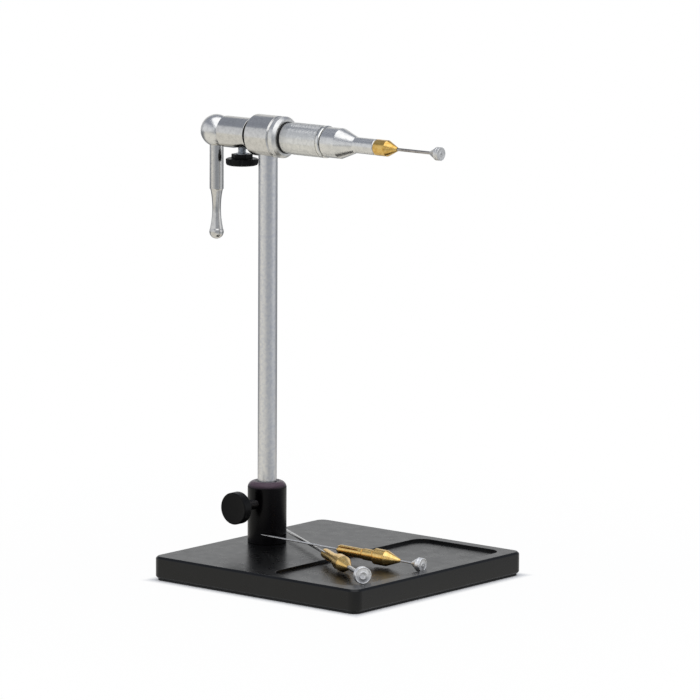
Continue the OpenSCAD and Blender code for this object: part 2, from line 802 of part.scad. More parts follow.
// Plug with a conical mouth that pushes over the collet's fingers
module closer() {
    r = closer_d / 2;
    mouth_r = shank_r + run_gap;
    throat_r = finger_r + run_gap;
    color("#8f9195")
        on_head()
            difference() {
                turned([[closer_rear, tail_hole_r], [closer_rear, r - edge], [closer_rear + edge, r],
                        [closer_front, r], [closer_front, mouth_r],
                        [collet_rear + finger_taper, mouth_r], [collet_rear, throat_r],
                        [collet_rear - run_gap, throat_r], [collet_rear - run_gap, tail_hole_r]]);
                translate([dog_u, closer_d, 0])
                    rotate([90, 0, 0])
                        cylinder(r = dog_r + fixed_gap, h = 2 * closer_d);
            }
}

// Two short pins that stand out of the closer through the spindle's slots into the grip
module closer_dogs() {
    inner = tail_hole_r + edge;
    outer = barrel_r + dog_gap - rest_gap;
    color("#77797d")
        on_head()
            for (turn = [0, 180])
                rotate([turn, 0, 0])
                    translate([dog_u, outer, 0])
                        rotate([90, 0, 0])
                            cylinder(r = dog_r, h = outer - inner);
}

// A collet about its own X axis from its rear end: slotted shank, collar, groove, head and cone
module collet_shape(bore_r, cone_len) {
    collar = shank_len;
    groove = collar + collar_len;
    head = groove + collar_groove;
    cone = head + collet_head_len;
    tip = cone + cone_len;
    tip_r = bore_r + edge / 2;
    difference() {
        turned([[0, bore_r], [0, finger_r], [finger_taper, shank_r], [collar, shank_r],
                [collar, collar_r - edge], [collar + edge, collar_r], [groove, collar_r],
                [groove, shank_r], [head, shank_r], [head, collet_r - edge], [head + edge, collet_r],
                [cone, collet_r], [tip, tip_r], [tip, bore_r]]);
        for (turn = [0, 90])
            rotate([turn + 45, 0, 0])
                translate([-over, -collet_r, -shank_slot_w / 2])
                    cube([shank_slot_len + over, collet_d, shank_slot_w]);
    }
}

// Brass collet in the nose
module collet()
    color("#c9a24a")
        on_head()
            translate([collet_rear, 0, 0])
                collet_shape(pin_r + run_gap, collet_cone_len);

// A disc about its own X axis, with its face at zero, a cone behind and rings turned in its face
module disc_shape(d, pin_radius, hole_r) {
    r = d / 2;
    rear = -disc_rim - disc_back;
    seat = -disc_rim / 2 - edge;
    floor_x = -disc_rim / 2;
    groove_out = r - 1.6 * edge;
    groove_in = hole_r + 1.4 * edge;
    turned([[rear, pin_radius + fixed_gap], [rear, pin_radius + edge], [-disc_rim, r - edge],
            [edge - disc_rim, r], [-disc_rim / 2 - edge, r], [-disc_rim / 2, r - edge / 2],
            [edge - disc_rim / 2, r], [-edge / 2, r], [0, r - edge / 2], [0, groove_out],
            [-edge / 2, groove_out - edge / 2], [-edge / 2, groove_in + edge / 2], [0, groove_in],
            [0, hole_r], [floor_x, hole_r], [floor_x, 0], [seat, 0], [seat, pin_radius + fixed_gap]]);
}

// A mandrel's pin about its own X axis, counted back from its disc's face, tapered at its tail
module pin_shape(radius, front_radius, front_len, len, point_len) {
    seat = -disc_rim / 2 - edge - fixed_gap;
    turned([[-len, 0], [-len, radius / 3], [point_len - len, radius], [-front_len, radius],
            [-front_len, front_radius], [seat, front_radius], [seat, 0]]);
}

// Places a piece of the fitted mandrel
module on_mandrel()
    on_head()
        translate([mandrel_face, 0, 0])
            children();

module mandrel_pin()
    color("#8b8985")
        on_mandrel()
            pin_shape(pin_r, pin_r, pin_len / 2, pin_len, 2 * pin_d);

module mandrel_disc()
    color("#cfcfcd")
        on_mandrel()
            disc_shape(disc_d, pin_r, pin_r / 2);

// Places a piece of the spare long rod, from its disc's face
module on_rod()
    translate([rod_x, rod_y, rod_z])
        rotate([0, 0, rod_yaw])
            children();

module rod_collet()
    color("#c9a24a")
        on_rod()
            translate([-rod_reach - spare_collet_len, 0, 0])
                collet_shape(rod_front_r + run_gap, spare_cone_len);

module spare_rod()
    color("#cdcbc8")
        on_rod()
            pin_shape(rod_r, rod_front_r, rod_front_len, rod_len, 2 * rod_d);

module rod_disc()
    color("#dcdcda")
        on_rod()
            disc_shape(rod_disc_d, rod_front_r, rod_d);

// Places a piece of the spare needle, from its disc's face. Its tail lies over the long rod.
module on_needle()
    translate([needle_x, needle_y, needle_z])
        rotate([0, needle_tilt, needle_yaw])
            children();

module needle_collet()
    color("#c9a24a")
        on_needle()
            translate([-needle_reach - spare_collet_len, 0, 0])
                collet_shape(needle_r + run_gap, spare_cone_len);

module spare_needle()
    color("#8b8985")
        on_needle()
            pin_shape(needle_r, needle_r, needle_len / 2, needle_len, 6 * needle_d);

module needle_disc()
    color("#dcdcda")
        on_needle()
            disc_shape(needle_disc_d, needle_r, needle_r);

base_plate();
rubber_pad();
post_socket();
socket_screw();
post_liner();
lock_shoe();
lock_stud();
lock_knob();
post();
main_housing();
post_dowel();
rear_sleeve();
rear_bush();
front_bush();
front_ring();
friction_ring();
drag_shoe();
drag_stud();
drag_knob();
spindle();
crank_ball();
crank_handle();
nose();
knurled_grip();
closer();
closer_dogs();
collet();
mandrel_pin();
mandrel_disc();
rod_collet();
spare_rod();
rod_disc();
needle_collet();
spare_needle();
needle_disc();
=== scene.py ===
"""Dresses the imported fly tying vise: turned aluminium head, black anodised base, brass collets.

Sizes are in millimetres in the classes and in metres in Blender. Stations along the head are
counted from the post's axis, as in the part's source.
"""

import logging
import math
from dataclasses import dataclass, field, replace
from enum import Enum
from functools import cache
from typing import ClassVar

import bpy
from mathutils import Matrix, Vector


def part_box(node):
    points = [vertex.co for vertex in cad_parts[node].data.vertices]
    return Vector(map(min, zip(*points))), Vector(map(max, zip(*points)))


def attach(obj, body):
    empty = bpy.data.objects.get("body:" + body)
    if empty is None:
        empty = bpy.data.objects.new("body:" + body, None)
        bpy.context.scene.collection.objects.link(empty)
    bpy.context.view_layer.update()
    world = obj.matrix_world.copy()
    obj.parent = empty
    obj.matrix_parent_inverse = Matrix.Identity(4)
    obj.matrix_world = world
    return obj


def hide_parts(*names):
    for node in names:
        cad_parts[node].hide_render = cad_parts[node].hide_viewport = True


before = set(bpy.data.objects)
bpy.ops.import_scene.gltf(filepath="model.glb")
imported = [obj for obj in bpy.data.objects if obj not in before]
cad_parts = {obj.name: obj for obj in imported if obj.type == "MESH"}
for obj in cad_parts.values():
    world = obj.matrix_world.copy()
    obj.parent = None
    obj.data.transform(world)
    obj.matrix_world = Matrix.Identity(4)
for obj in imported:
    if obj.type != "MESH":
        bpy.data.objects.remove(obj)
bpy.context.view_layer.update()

MM = 0.001
MERGED = 2e-6
LOG = logging.getLogger("vise")

Numbers = tuple[float, ...]
Profile = list[tuple[float, float]]
Object = bpy.types.Object
Tree = bpy.types.NodeTree


def linear(colour: str) -> Numbers:
    """Turns an sRGB hex colour into linear light.

    Args:
        colour: Six hex digits after a hash.

    Returns:
        Red, green, blue and an alpha of one.
    """
    parts = [int(colour[i:i + 2], 16) / 255 for i in (1, 3, 5)]
    lit = [c / 12.92 if c <= 0.04045 else ((c + 0.055) / 1.055) ** 2.4 for c in parts]
    return *lit, 1.0


def add(tree: Tree, kind: str, inputs: dict | None = None, **settings: object) -> bpy.types.Node:
    """Adds a node with its settings, its values and its links.

    Args:
        tree: The node tree to add to.
        kind: Blender's name for the kind of node.
        inputs: By name or number, a value, a node for its first output, or an output.
        **settings: The node's own settings.

    Returns:
        The new node.
    """
    node = tree.nodes.new(kind)
    for name, value in settings.items():
        setattr(node, name, value)
    for name, value in (inputs or {}).items():
        if isinstance(value, bpy.types.Node):
            value = value.outputs[0]
        if isinstance(value, bpy.types.NodeSocket):
            tree.links.new(value, node.inputs[name])
        else:
            node.inputs[name].default_value = value
    return node


def blank_material(name: str) -> tuple[bpy.types.Material, Tree]:
    """Makes a material with no nodes.

    Args:
        name: The material's name.

    Returns:
        The material and its node tree.
    """
    material = bpy.data.materials.new(name)
    material.use_nodes = True
    material.node_tree.nodes.clear()
    return material, material.node_tree


# Finishes


class Axis(Enum):
    """The world axis that a piece's tool marks follow, or none."""

    X = 0
    Y = 1
    Z = 2
    NONE = 3


class Marks(Enum):
    """How a metal piece was brought to size."""

    TURNED = "turned"
    DRAWN = "drawn"


@dataclass(frozen=True)
class Finish:
    """A surface with two tones in soft patches, a roughness that follows them and a grain."""

    name: str
    colour: str
    dull: str
    roughness: float
    spread: float
    patch: float = 2.0
    grain: float = 0.3
    grain_depth: float = 0.002
    dulled: ClassVar[Numbers] = (0.35, 0.7)
    roughened: ClassVar[Numbers] = (0.3, 0.7)

    def label(self) -> str:
        """Gives the material's name."""
        return self.name

    def detail(self, tree: Tree, spot: bpy.types.NodeSocket, inputs: dict) -> None:
        """Changes what the shader gets, for this kind of surface."""
        raise NotImplementedError

    @cache
    def build(self) -> bpy.types.Material:
        """Builds the material once and gives it each time."""
        material, tree = blank_material(self.label())
        spot = add(tree, "ShaderNodeTexCoord").outputs["Object"]
        patches, grain = (
            add(tree, "ShaderNodeTexNoise",
                {"Vector": spot, "Scale": 1 / (size * MM), "Detail": detail})
            for size, detail in ((self.patch, 4.0), (self.grain, 2.0)))
        worn, rough = (
            add(tree, "ShaderNodeMapRange", {0: patches} | dict(enumerate(span, 1)))
            for span in ((*self.dulled, 0.0, 1.0),
                         (*self.roughened, self.roughness - self.spread,
                          self.roughness + self.spread)))
        colour = add(tree, "ShaderNodeMix",
                     {0: worn, 6: linear(self.colour), 7: linear(self.dull)}, data_type="RGBA")
        bump = add(tree, "ShaderNodeBump",
                   {"Height": grain, "Strength": 1.0, "Distance": self.grain_depth * MM})
        inputs = {"Base Color": colour.outputs[2], "Roughness": rough, "Normal": bump}
        self.detail(tree, spot, inputs)
        shader = add(tree, "ShaderNodeBsdfPrincipled", inputs)
        add(tree, "ShaderNodeOutputMaterial", {0: shader})
        return material


@dataclass(frozen=True)
class Metal(Finish):
    """Bare metal, with the marks of its making over the grain."""

    mark: float = 0.3
    mark_depth: float = 0.001
    marks: Marks = Marks.TURNED
    axis: Axis = Axis.NONE
    dulled: ClassVar[Numbers] = (0.4, 0.66)
    drawn_out: ClassVar[float] = 0.04

    def about(self, axis: Axis) -> "Metal":
        """Gives the same finish with its marks about an axis."""
        return replace(self, axis=axis)

    def label(self) -> str:
        """Gives the material's name, one for each axis."""
        return f"{self.name}_{self.axis.name.lower()}"

    def detail(self, tree: Tree, spot: bpy.types.NodeSocket, inputs: dict) -> None:
        """Adds the rings round the axis, or the lines along it.

        Args:
            tree: The material's node tree.
            spot: The place on the piece.
            inputs: The shader's inputs, which are changed.
        """
        rings = self.marks is Marks.TURNED
        scale = [1.0 if (i == self.axis.value) == rings else self.drawn_out for i in range(3)]
        stretched = add(tree, "ShaderNodeMapping", {"Vector": spot, "Scale": scale})
        marks = add(tree, "ShaderNodeTexNoise",
                    {"Vector": stretched, "Scale": 1 / (self.mark * MM), "Detail": 2.0})
        inputs["Normal"] = add(tree, "ShaderNodeBump", {
            "Height": marks, "Strength": 1.0, "Distance": self.mark_depth * MM,
            "Normal": inputs["Normal"]})
        inputs["Metallic"] = 1.0


@dataclass(frozen=True)
class Coating(Finish):
    """A dark skin on metal, or plastic or rubber: one body colour under a plain gloss."""

    ior: float = 1.5
    # A painted highlight: a lighter colour blended in over a band of heights in millimetres, left
    # out when empty.
    painted_highlight: str = ""
    painted_highlight_span: Numbers = ()

    def detail(self, tree: Tree, spot: bpy.types.NodeSocket, inputs: dict) -> None:
        """Sets the gloss, and blends in the painted highlight's colour over its band of heights.

        Args:
            tree: The material's node tree.
            spot: The place on the piece.
            inputs: The shader's inputs, which are changed.
        """
        inputs["IOR"] = self.ior
        # Painted highlight: the body colour goes over to a lighter one across the band of
        # heights.
        if self.painted_highlight:
            height = add(tree, "ShaderNodeSeparateXYZ", {0: spot}).outputs[2]
            start, end = (z * MM for z in self.painted_highlight_span)
            share = add(tree, "ShaderNodeMapRange", {0: height, 1: start, 2: end})
            inputs["Base Color"] = add(
                tree, "ShaderNodeMix",
                {0: share, 6: inputs["Base Color"], 7: linear(self.painted_highlight)},
                data_type="RGBA").outputs[2]


# Aluminium bar, turned and then tumbled: an even satin grey with soft patches where the media
# rubbed it more.
TUMBLED = Metal("tumbled_aluminium", "#d2d0cb", "#c5c3bf", 0.22, 0.03, patch=1.6, grain=0.35,
                grain_depth=0.0015, mark_depth=0.0012)
# The grip's knurl: the same bar painted lighter, a painted highlight that makes its diamonds
# glint brighter than the tumbled bar.
LIGHTENED_KNURL = replace(TUMBLED, name="lightened_knurled_aluminium", colour="#e0dfda", dull="#d4d3cf")
# The handle was polished after turning: it mirrors the room more sharply.
POLISHED = replace(TUMBLED, name="polished_aluminium", roughness=0.18)
# The same bar as drawn, not turned: fine lines run along it, and it is a little cloudier.
DRAWN = Metal("drawn_aluminium", "#dbdad7", "#cbccce", 0.33, 0.04, patch=1.5, grain=0.4,
              mark=0.35, mark_depth=0.002, marks=Marks.DRAWN)
# Aluminium with a last light cut: brighter, with rings left by the tool.
BRIGHT = Metal("bright_turned_aluminium", "#dcdbd7", "#d0cfcc", 0.28, 0.03, grain=0.5,
               grain_depth=0.0015, mark=0.25, mark_depth=0.0006)
# The front ring's cut was coarser, which smears what it mirrors.
COARSE = replace(BRIGHT, name="coarse_turned_aluminium", roughness=0.38, mark_depth=0.002)
# Aluminium faced across its end with a slow feed: matt, with close rings.
FACED = Metal("faced_aluminium", "#e0dfdc", "#cfcecb", 0.42, 0.05, patch=1.2, mark=0.25,
              mark_depth=0.003)
# Brass bar turned and polished: warm and pale, with darker rings where the tool dwelt.
BRASS = Metal("turned_brass", "#e2bd70", "#cfa352", 0.25, 0.04, patch=1.5, grain=0.4,
              grain_depth=0.0015, mark_depth=0.0006)
# The spares' discs and collets: copies of the faced aluminium and the brass painted lighter, a
# painted highlight so that they mirror the room brighter.
LIGHTENED_FACED = replace(FACED, name="lightened_faced_aluminium", colour="#fbfaf8", dull="#efeeec")
LIGHTENED_BRASS = replace(BRASS, name="lightened_turned_brass", colour="#f6d287", dull="#e6b96a")
# Steel blackened in hot salts and oiled: nearly black, with a weak grey shine.
BLACKED = Metal("blackened_steel", "#3c3a39", "#2a2827", 0.34, 0.05, patch=1.0,
                grain_depth=0.004, mark_depth=0.002)
# Ground steel wire: grey brown, with fine lines round it.
GROUND_STEEL = Metal("ground_steel", "#aba6a0", "#8f8a85", 0.26, 0.05)
# The spares' steel was drawn through a die and polished: silvery, with hardly a line.
SILVER_STEEL = Metal("polished_steel", "#dcdbd8", "#cac8c5", 0.3, 0.04, grain_depth=0.001,
                     mark_depth=0.0005)
# Zinc plate on a rolled thread: pale, slightly blue and cloudy.
ZINC = Metal("zinc_plated_steel", "#c3c7cc", "#a6abb2", 0.32, 0.06, patch=1.0,
             grain_depth=0.003)
# Sintered bronze bush: brown and full of pores.
BRONZE = Metal("sintered_bronze", "#a5763e", "#7f5a30", 0.45, 0.08, patch=0.8, grain=0.2,
               grain_depth=0.02, mark=0.4, mark_depth=0.002)

# Bead blasting leaves a fine even grain under the black dye, drawn a little coarser than it is
# so that it shows. The oxide is glossy where it is seen at a low angle.
PLATE_BLACK = Coating("black_anodised_plate", "#040404", "#080808", 0.29, 0.03, ior=1.38,
                      patch=6.0, grain=0.55, grain_depth=0.016)
# The socket was turned, not blasted. Its rounded top edge carries a painted highlight: the colour
# turns a lighter purple grey over the band of heights where the overhead lamp's reflection falls.
SOCKET_BLACK = Coating("black_anodised_socket", "#030203", "#060406", 0.26, 0.03, ior=1.22,
                       patch=4.0, grain_depth=0.004, painted_highlight="#5c4c55", painted_highlight_span=(40.0, 41.8))
# Moulded glass-filled nylon: matt, with the faint grain of a spark-eroded mould.
KNOB_PLASTIC = Coating("moulded_nylon", "#0e0e0e", "#121212", 0.34, 0.05, ior=1.2, patch=2.5,
                       grain=0.25, grain_depth=0.008)
# Painted shade for the narrow groove between the sleeve and the housing: a matt brown grey that
# stands in for the shadow in the gap.
GROOVE_SHADE = Coating("painted_groove_shade", "#24211e", "#34302c", 0.6, 0.1, ior=1.4, patch=0.8, grain=0.2,
                grain_depth=0.01)
# Cut rubber sheet: hardly any gloss and a coarse skin.
SHEET_RUBBER = Coating("rubber_sheet", "#0a0a0a", "#121212", 0.75, 0.08, patch=4.0, grain=0.5,
                       grain_depth=0.03)
# Nitrile washer: black with a dull sheen.
WASHER_RUBBER = Coating("nitrile_rubber", "#060606", "#0b0b0b", 0.5, 0.05, patch=1.0,
                        grain=0.2, grain_depth=0.01)
# Machined acetal: dark grey and slightly waxy.
ACETAL = Coating("acetal", "#242426", "#2c2c2e", 0.4, 0.05, ior=1.48, grain_depth=0.006)
# Natural nylon rod: off-white.
NYLON = Coating("natural_nylon", "#dcd8cc", "#cfcabc", 0.45, 0.05, ior=1.53, patch=1.5,
                grain_depth=0.006)


# Shaping


def deselect() -> None:
    """Leaves edit mode and deselects all."""
    if bpy.context.object and bpy.context.object.mode != "OBJECT":
        bpy.ops.object.mode_set(mode="OBJECT")
    bpy.ops.object.select_all(action="DESELECT")


def take(piece: Object) -> None:
    """Selects one piece alone and makes it active.

    Args:
        piece: The piece to work on.
    """
    deselect()
    piece.select_set(True)
    bpy.context.view_layer.objects.active = piece


def settle(name: str) -> Object:
    """Names the piece just added and makes its place part of its mesh.

    Args:
        name: The piece's name.

    Returns:
        The piece.
    """
    piece = bpy.context.object
    piece.name = name
    bpy.ops.object.transform_apply(location=True, rotation=True, scale=True)
    return piece


def modify(piece: Object, kind: str, **settings: object) -> None:
    """Applies a modifier to a piece.

    Args:
        piece: The piece to change.
        kind: Blender's name for the modifier.
        **settings: The modifier's settings.
    """
    take(piece)
    modifier = piece.modifiers.new(kind, kind)
    for name, value in settings.items():
        setattr(modifier, name, value)
    bpy.ops.object.modifier_apply(modifier=modifier.name)


def close_up(piece: Object) -> None:
    """Merges what lies together, closes open ends and turns the faces outwards.

    Args:
        piece: The piece, whose whole mesh is changed.
    """
    take(piece)
    bpy.ops.object.mode_set(mode="EDIT")
    for mend, settings in ((bpy.ops.mesh.remove_doubles, {"threshold": MERGED}),
                           (bpy.ops.mesh.fill_holes, {"sides": 0}),
                           (bpy.ops.mesh.normals_make_consistent, {"inside": False})):
        bpy.ops.mesh.select_all(action="SELECT")
        mend(**settings)
    bpy.ops.object.mode_set(mode="OBJECT")


def lathe(name: str, profile: Profile, sides: int = 96) -> Object:
    """Turns a piece about X, one ring after another. Open ends are closed with flat faces.

    Args:
        name: The piece's name.
        profile: Stations and radii in millimetres. A bored piece's ends where it began.
        sides: Number of facets round it.

    Returns:
        The piece, still on the X axis.
    """
    deselect()
    station, radius = profile[0]
    bpy.ops.mesh.primitive_circle_add(vertices=sides, radius=radius * MM,
                                      location=(station * MM, 0, 0),
                                      rotation=(0, math.pi / 2, 0))
    piece = settle(name)
    bpy.ops.object.mode_set(mode="EDIT")
    bpy.ops.mesh.select_all(action="SELECT")
    for (x0, r0), (x1, r1) in zip(profile, profile[1:]):
        bpy.ops.mesh.extrude_region_move(
            TRANSFORM_OT_translate={"value": ((x1 - x0) * MM, 0, 0)})
        if r1 != r0:
            bpy.ops.transform.resize(value=(1, r1 / r0, r1 / r0), center_override=(0, 0, 0))
    close_up(piece)
    return piece


def arc(x: float, r: float, radius: float, start: float, end: float, steps: int) -> Profile:
    """Gives points on a round corner of a profile.

    Args:
        x: Station of the corner's centre.
        r: Distance of that centre from the axis.
        radius: The corner's radius.
        start: Its first angle in degrees, from the axis's direction towards the outside.
        end: Its last angle.
        steps: Number of chords.

    Returns:
        The points, both ends included.
    """
    turns = [math.radians(start + (end - start) * i / steps) for i in range(steps + 1)]
    return [(x + radius * math.cos(t), r + radius * math.sin(t)) for t in turns]


def pick(piece: Object, kind: str, wanted: list[bool]) -> None:
    """Opens a piece in edit mode with only some of its mesh selected.

    Args:
        piece: The piece to work on.
        kind: EDGE or VERT.
        wanted: Whether each edge or vertex is selected, in the mesh's order.
    """
    take(piece)
    bpy.ops.object.mode_set(mode="EDIT")
    bpy.ops.mesh.select_mode(type=kind)
    bpy.ops.mesh.select_all(action="DESELECT")
    bpy.ops.object.mode_set(mode="OBJECT")
    parts = piece.data.edges if kind == "EDGE" else piece.data.vertices
    for part, selected in zip(parts, wanted):
        part.select = selected
    bpy.ops.object.mode_set(mode="EDIT")


def edge_ends(piece: Object) -> list[list[Vector]]:
    """Gives the two ends of each of a piece's edges."""
    return [[piece.data.vertices[i].co for i in edge.vertices] for edge in piece.data.edges]


def break_edges(piece: Object, wanted: list[bool], width: float, segments: int) -> None:
    """Bevels some of a piece's edges.

    Args:
        piece: The piece to change.
        wanted: Whether each edge is bevelled, in the mesh's order.
        width: Width of the bevel along each face.
        segments: Number of faces across it.
    """
    pick(piece, "EDGE", wanted)
    bpy.ops.mesh.bevel(offset=width * MM, segments=segments, affect="EDGES")
    bpy.ops.mesh.select_mode(type="VERT")
    bpy.ops.object.mode_set(mode="OBJECT")


def bar(name: str, centre: Numbers, size: Numbers, turn: float = 0, corner: float = 0) -> Object:
    """Makes a bar with square or round upright corners.

    Args:
        name: The bar's name.
        centre: Its middle.
        size: Its length, width and height.
        turn: How far it is turned about X, in degrees.
        corner: Radius of its upright corners.

    Returns:
        The bar in its place.
    """
    deselect()
    bpy.ops.mesh.primitive_cube_add(size=MM, location=[c * MM for c in centre],
                                    rotation=(math.radians(turn), 0, 0), scale=size)
    piece = settle(name)
    if corner:
        upright = [abs(a.z - b.z) > MM / 10 for a, b in edge_ends(piece)]
        break_edges(piece, upright, corner, 16)
    return piece


def soften(piece: Object, width: float = 0.12, segments: int = 2, angle: float = 10) -> None:
    """Breaks a piece's edges that are sharper than an angle in degrees."""
    modify(piece, "BEVEL", width=width * MM, segments=segments, limit_method="ANGLE",
           angle_limit=math.radians(angle), use_clamp_overlap=True)


def cut(piece: Object, cutter: Object) -> None:
    """Cuts one piece with another, which is used up."""
    modify(piece, "BOOLEAN", object=cutter, operation="DIFFERENCE", solver="EXACT")
    bpy.data.objects.remove(cutter)


def place(piece: Object, where: Matrix) -> Object:
    """Moves a piece's mesh to its place and leaves its object at the origin.

    Args:
        piece: The piece to move.
        where: Its place, in metres.

    Returns:
        The same piece.
    """
    take(piece)
    piece.matrix_world = where
    bpy.ops.object.transform_apply(location=True, rotation=True, scale=True)
    return piece


def drill(piece: Object, where: Matrix, radius: float, start: float, end: float,
          sides: int = 64) -> None:
    """Cuts a round hole, from its start to its end on the X axis of the drill's place."""
    cut(piece, place(lathe("drill", [(start, radius), (end, radius)], sides), where))


def hand_over(piece: Object, where: Matrix, finish: Finish, body: str, node: str,
              crisp: float | None = 38) -> None:
    """Puts a finished shape in its place, shades it and makes it stand for its CAD node.

    Args:
        piece: The piece.
        where: Its place.
        finish: Its surface.
        body: The body that it rides on.
        node: The CAD node that it replaces.
        crisp: Edges sharper than this, in degrees, stay crisp. None keeps its shading.
    """
    place(piece, where)
    if crisp is not None:
        bpy.ops.object.shade_smooth_by_angle(angle=math.radians(crisp))
        modify(piece, "WEIGHTED_NORMAL", keep_sharp=True, weight=80)
    piece.data.materials.clear()
    piece.data.materials.append(finish.build())
    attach(piece, body)
    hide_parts(node)
    off = max(abs(end(v.co[i] for v in piece.data.vertices) - corner[i])
              for end, corner in zip((min, max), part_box(node)) for i in range(3))
    LOG.info("%s: %d faces on %s, %.2f mm off its CAD box", piece.name,
             len(piece.data.polygons), body, off / MM)


def turned(name: str, profile: Profile, where: Matrix, finish: Finish, body: str,
           node: str, width: float = 0.12, angle: float = 10, sides: int = 96,
           crisp: float = 38) -> None:
    """Makes a whole piece on the lathe and hands it over.

    Args:
        name: The piece's name.
        profile: Its stations and radii.
        where: Its place.
        finish: Its surface.
        body: The body that it rides on.
        node: The CAD node that it replaces.
        width: Width of its broken edges, or 0 to leave them.
        angle: Edges sharper than this are broken.
        sides: Number of facets round it.
        crisp: Edges sharper than this stay crisp.
    """
    piece = lathe(name, profile, sides)
    if width:
        soften(piece, width, angle=angle)
    hand_over(piece, where, finish, body, node, crisp)


def dress(finish: Finish, *nodes: str) -> None:
    """Gives CAD nodes that keep their own shape a finish.

    Args:
        finish: Their surface.
        *nodes: The nodes' names.
    """
    for node in nodes:
        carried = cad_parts[node]
        carried.data.materials.clear()
        carried.data.materials.append(finish.build())
        LOG.info("%s: carried over in %s", node, finish.name)


@dataclass(frozen=True)
class Thread:
    """A rolled outside thread along X, closed at both ends."""

    start: float
    end: float
    radius: float
    pitch: float
    depth_share: float = 0.54
    crest_share: float = 0.12
    steps: int = 32

    def build(self, name: str) -> Object:
        """Winds one tooth round the axis as often as the thread's length needs.

        Args:
            name: The piece's name.

        Returns:
            The threaded rod, still on the X axis.
        """
        root = self.radius - self.depth_share * self.pitch
        flank = (1 - self.crest_share) / 2
        tooth = [(0.0, root), (flank * self.pitch, self.radius),
                 ((flank + self.crest_share) * self.pitch, self.radius), (self.pitch, root)]
        deselect()
        bpy.ops.mesh.primitive_plane_add(size=MM, location=(self.start * MM, root * MM, 0))
        piece = settle(name)
        bpy.ops.object.mode_set(mode="EDIT")
        bpy.ops.mesh.select_all(action="SELECT")
        bpy.ops.mesh.merge(type="CENTER")
        for (x0, r0), (x1, r1) in zip(tooth, tooth[1:]):
            bpy.ops.mesh.extrude_region_move(
                TRANSFORM_OT_translate={"value": ((x1 - x0) * MM, (r1 - r0) * MM, 0)})
        bpy.ops.object.mode_set(mode="OBJECT")
        turns = max(1, round((self.end - self.start) / self.pitch) - 1)
        modify(piece, "SCREW", axis="X", angle=math.tau, screw_offset=self.pitch * MM,
               iterations=turns, steps=self.steps, render_steps=self.steps,
               use_merge_vertices=True, merge_threshold=1e-6)
        close_up(piece)
        return piece


# Places of the sub-assemblies

DOWN = Matrix.Rotation(math.pi / 2, 4, "Y")
UP = Matrix.Rotation(-math.pi / 2, 4, "Y")


def at(x: float, y: float, z: float) -> Matrix:
    """Gives the place of a piece from its position in millimetres."""
    return Matrix.Translation(Vector((x, y, z)) * MM)


@dataclass(frozen=True)
class Bench:
    """The sizes that several sub-assemblies share."""

    plate_w: float = 130
    plate_top: float = 12
    tray_floor: float = 10.5
    tray_front: float = 57.5
    tray_side: float = 58
    post_x: float = -46
    axis_h: float = 215.3
    socket_r: float = 9.7
    lock_h: float = 32.3
    drag_station: float = -16.9
    face_station: float = 109.05

    def head(self, station: float = 0.0) -> Matrix:
        """Gives the place of a piece on the head's axis."""
        return at(self.post_x + station, 0, self.axis_h)

    def upright(self) -> Matrix:
        """Gives the place of a piece whose X axis stands up along the post."""
        return at(self.post_x, 0, 0) @ UP

    def hanging(self, station: float) -> Matrix:
        """Gives the place of a piece whose X axis points down from the head's axis."""
        return self.head(station) @ DOWN

    def sideways(self) -> Matrix:
        """Gives the place of the lock screw, whose X axis points away from the socket."""
        return at(self.post_x, 0, self.lock_h) @ Matrix.Rotation(-math.pi / 2, 4, "Z")


BENCH = Bench()


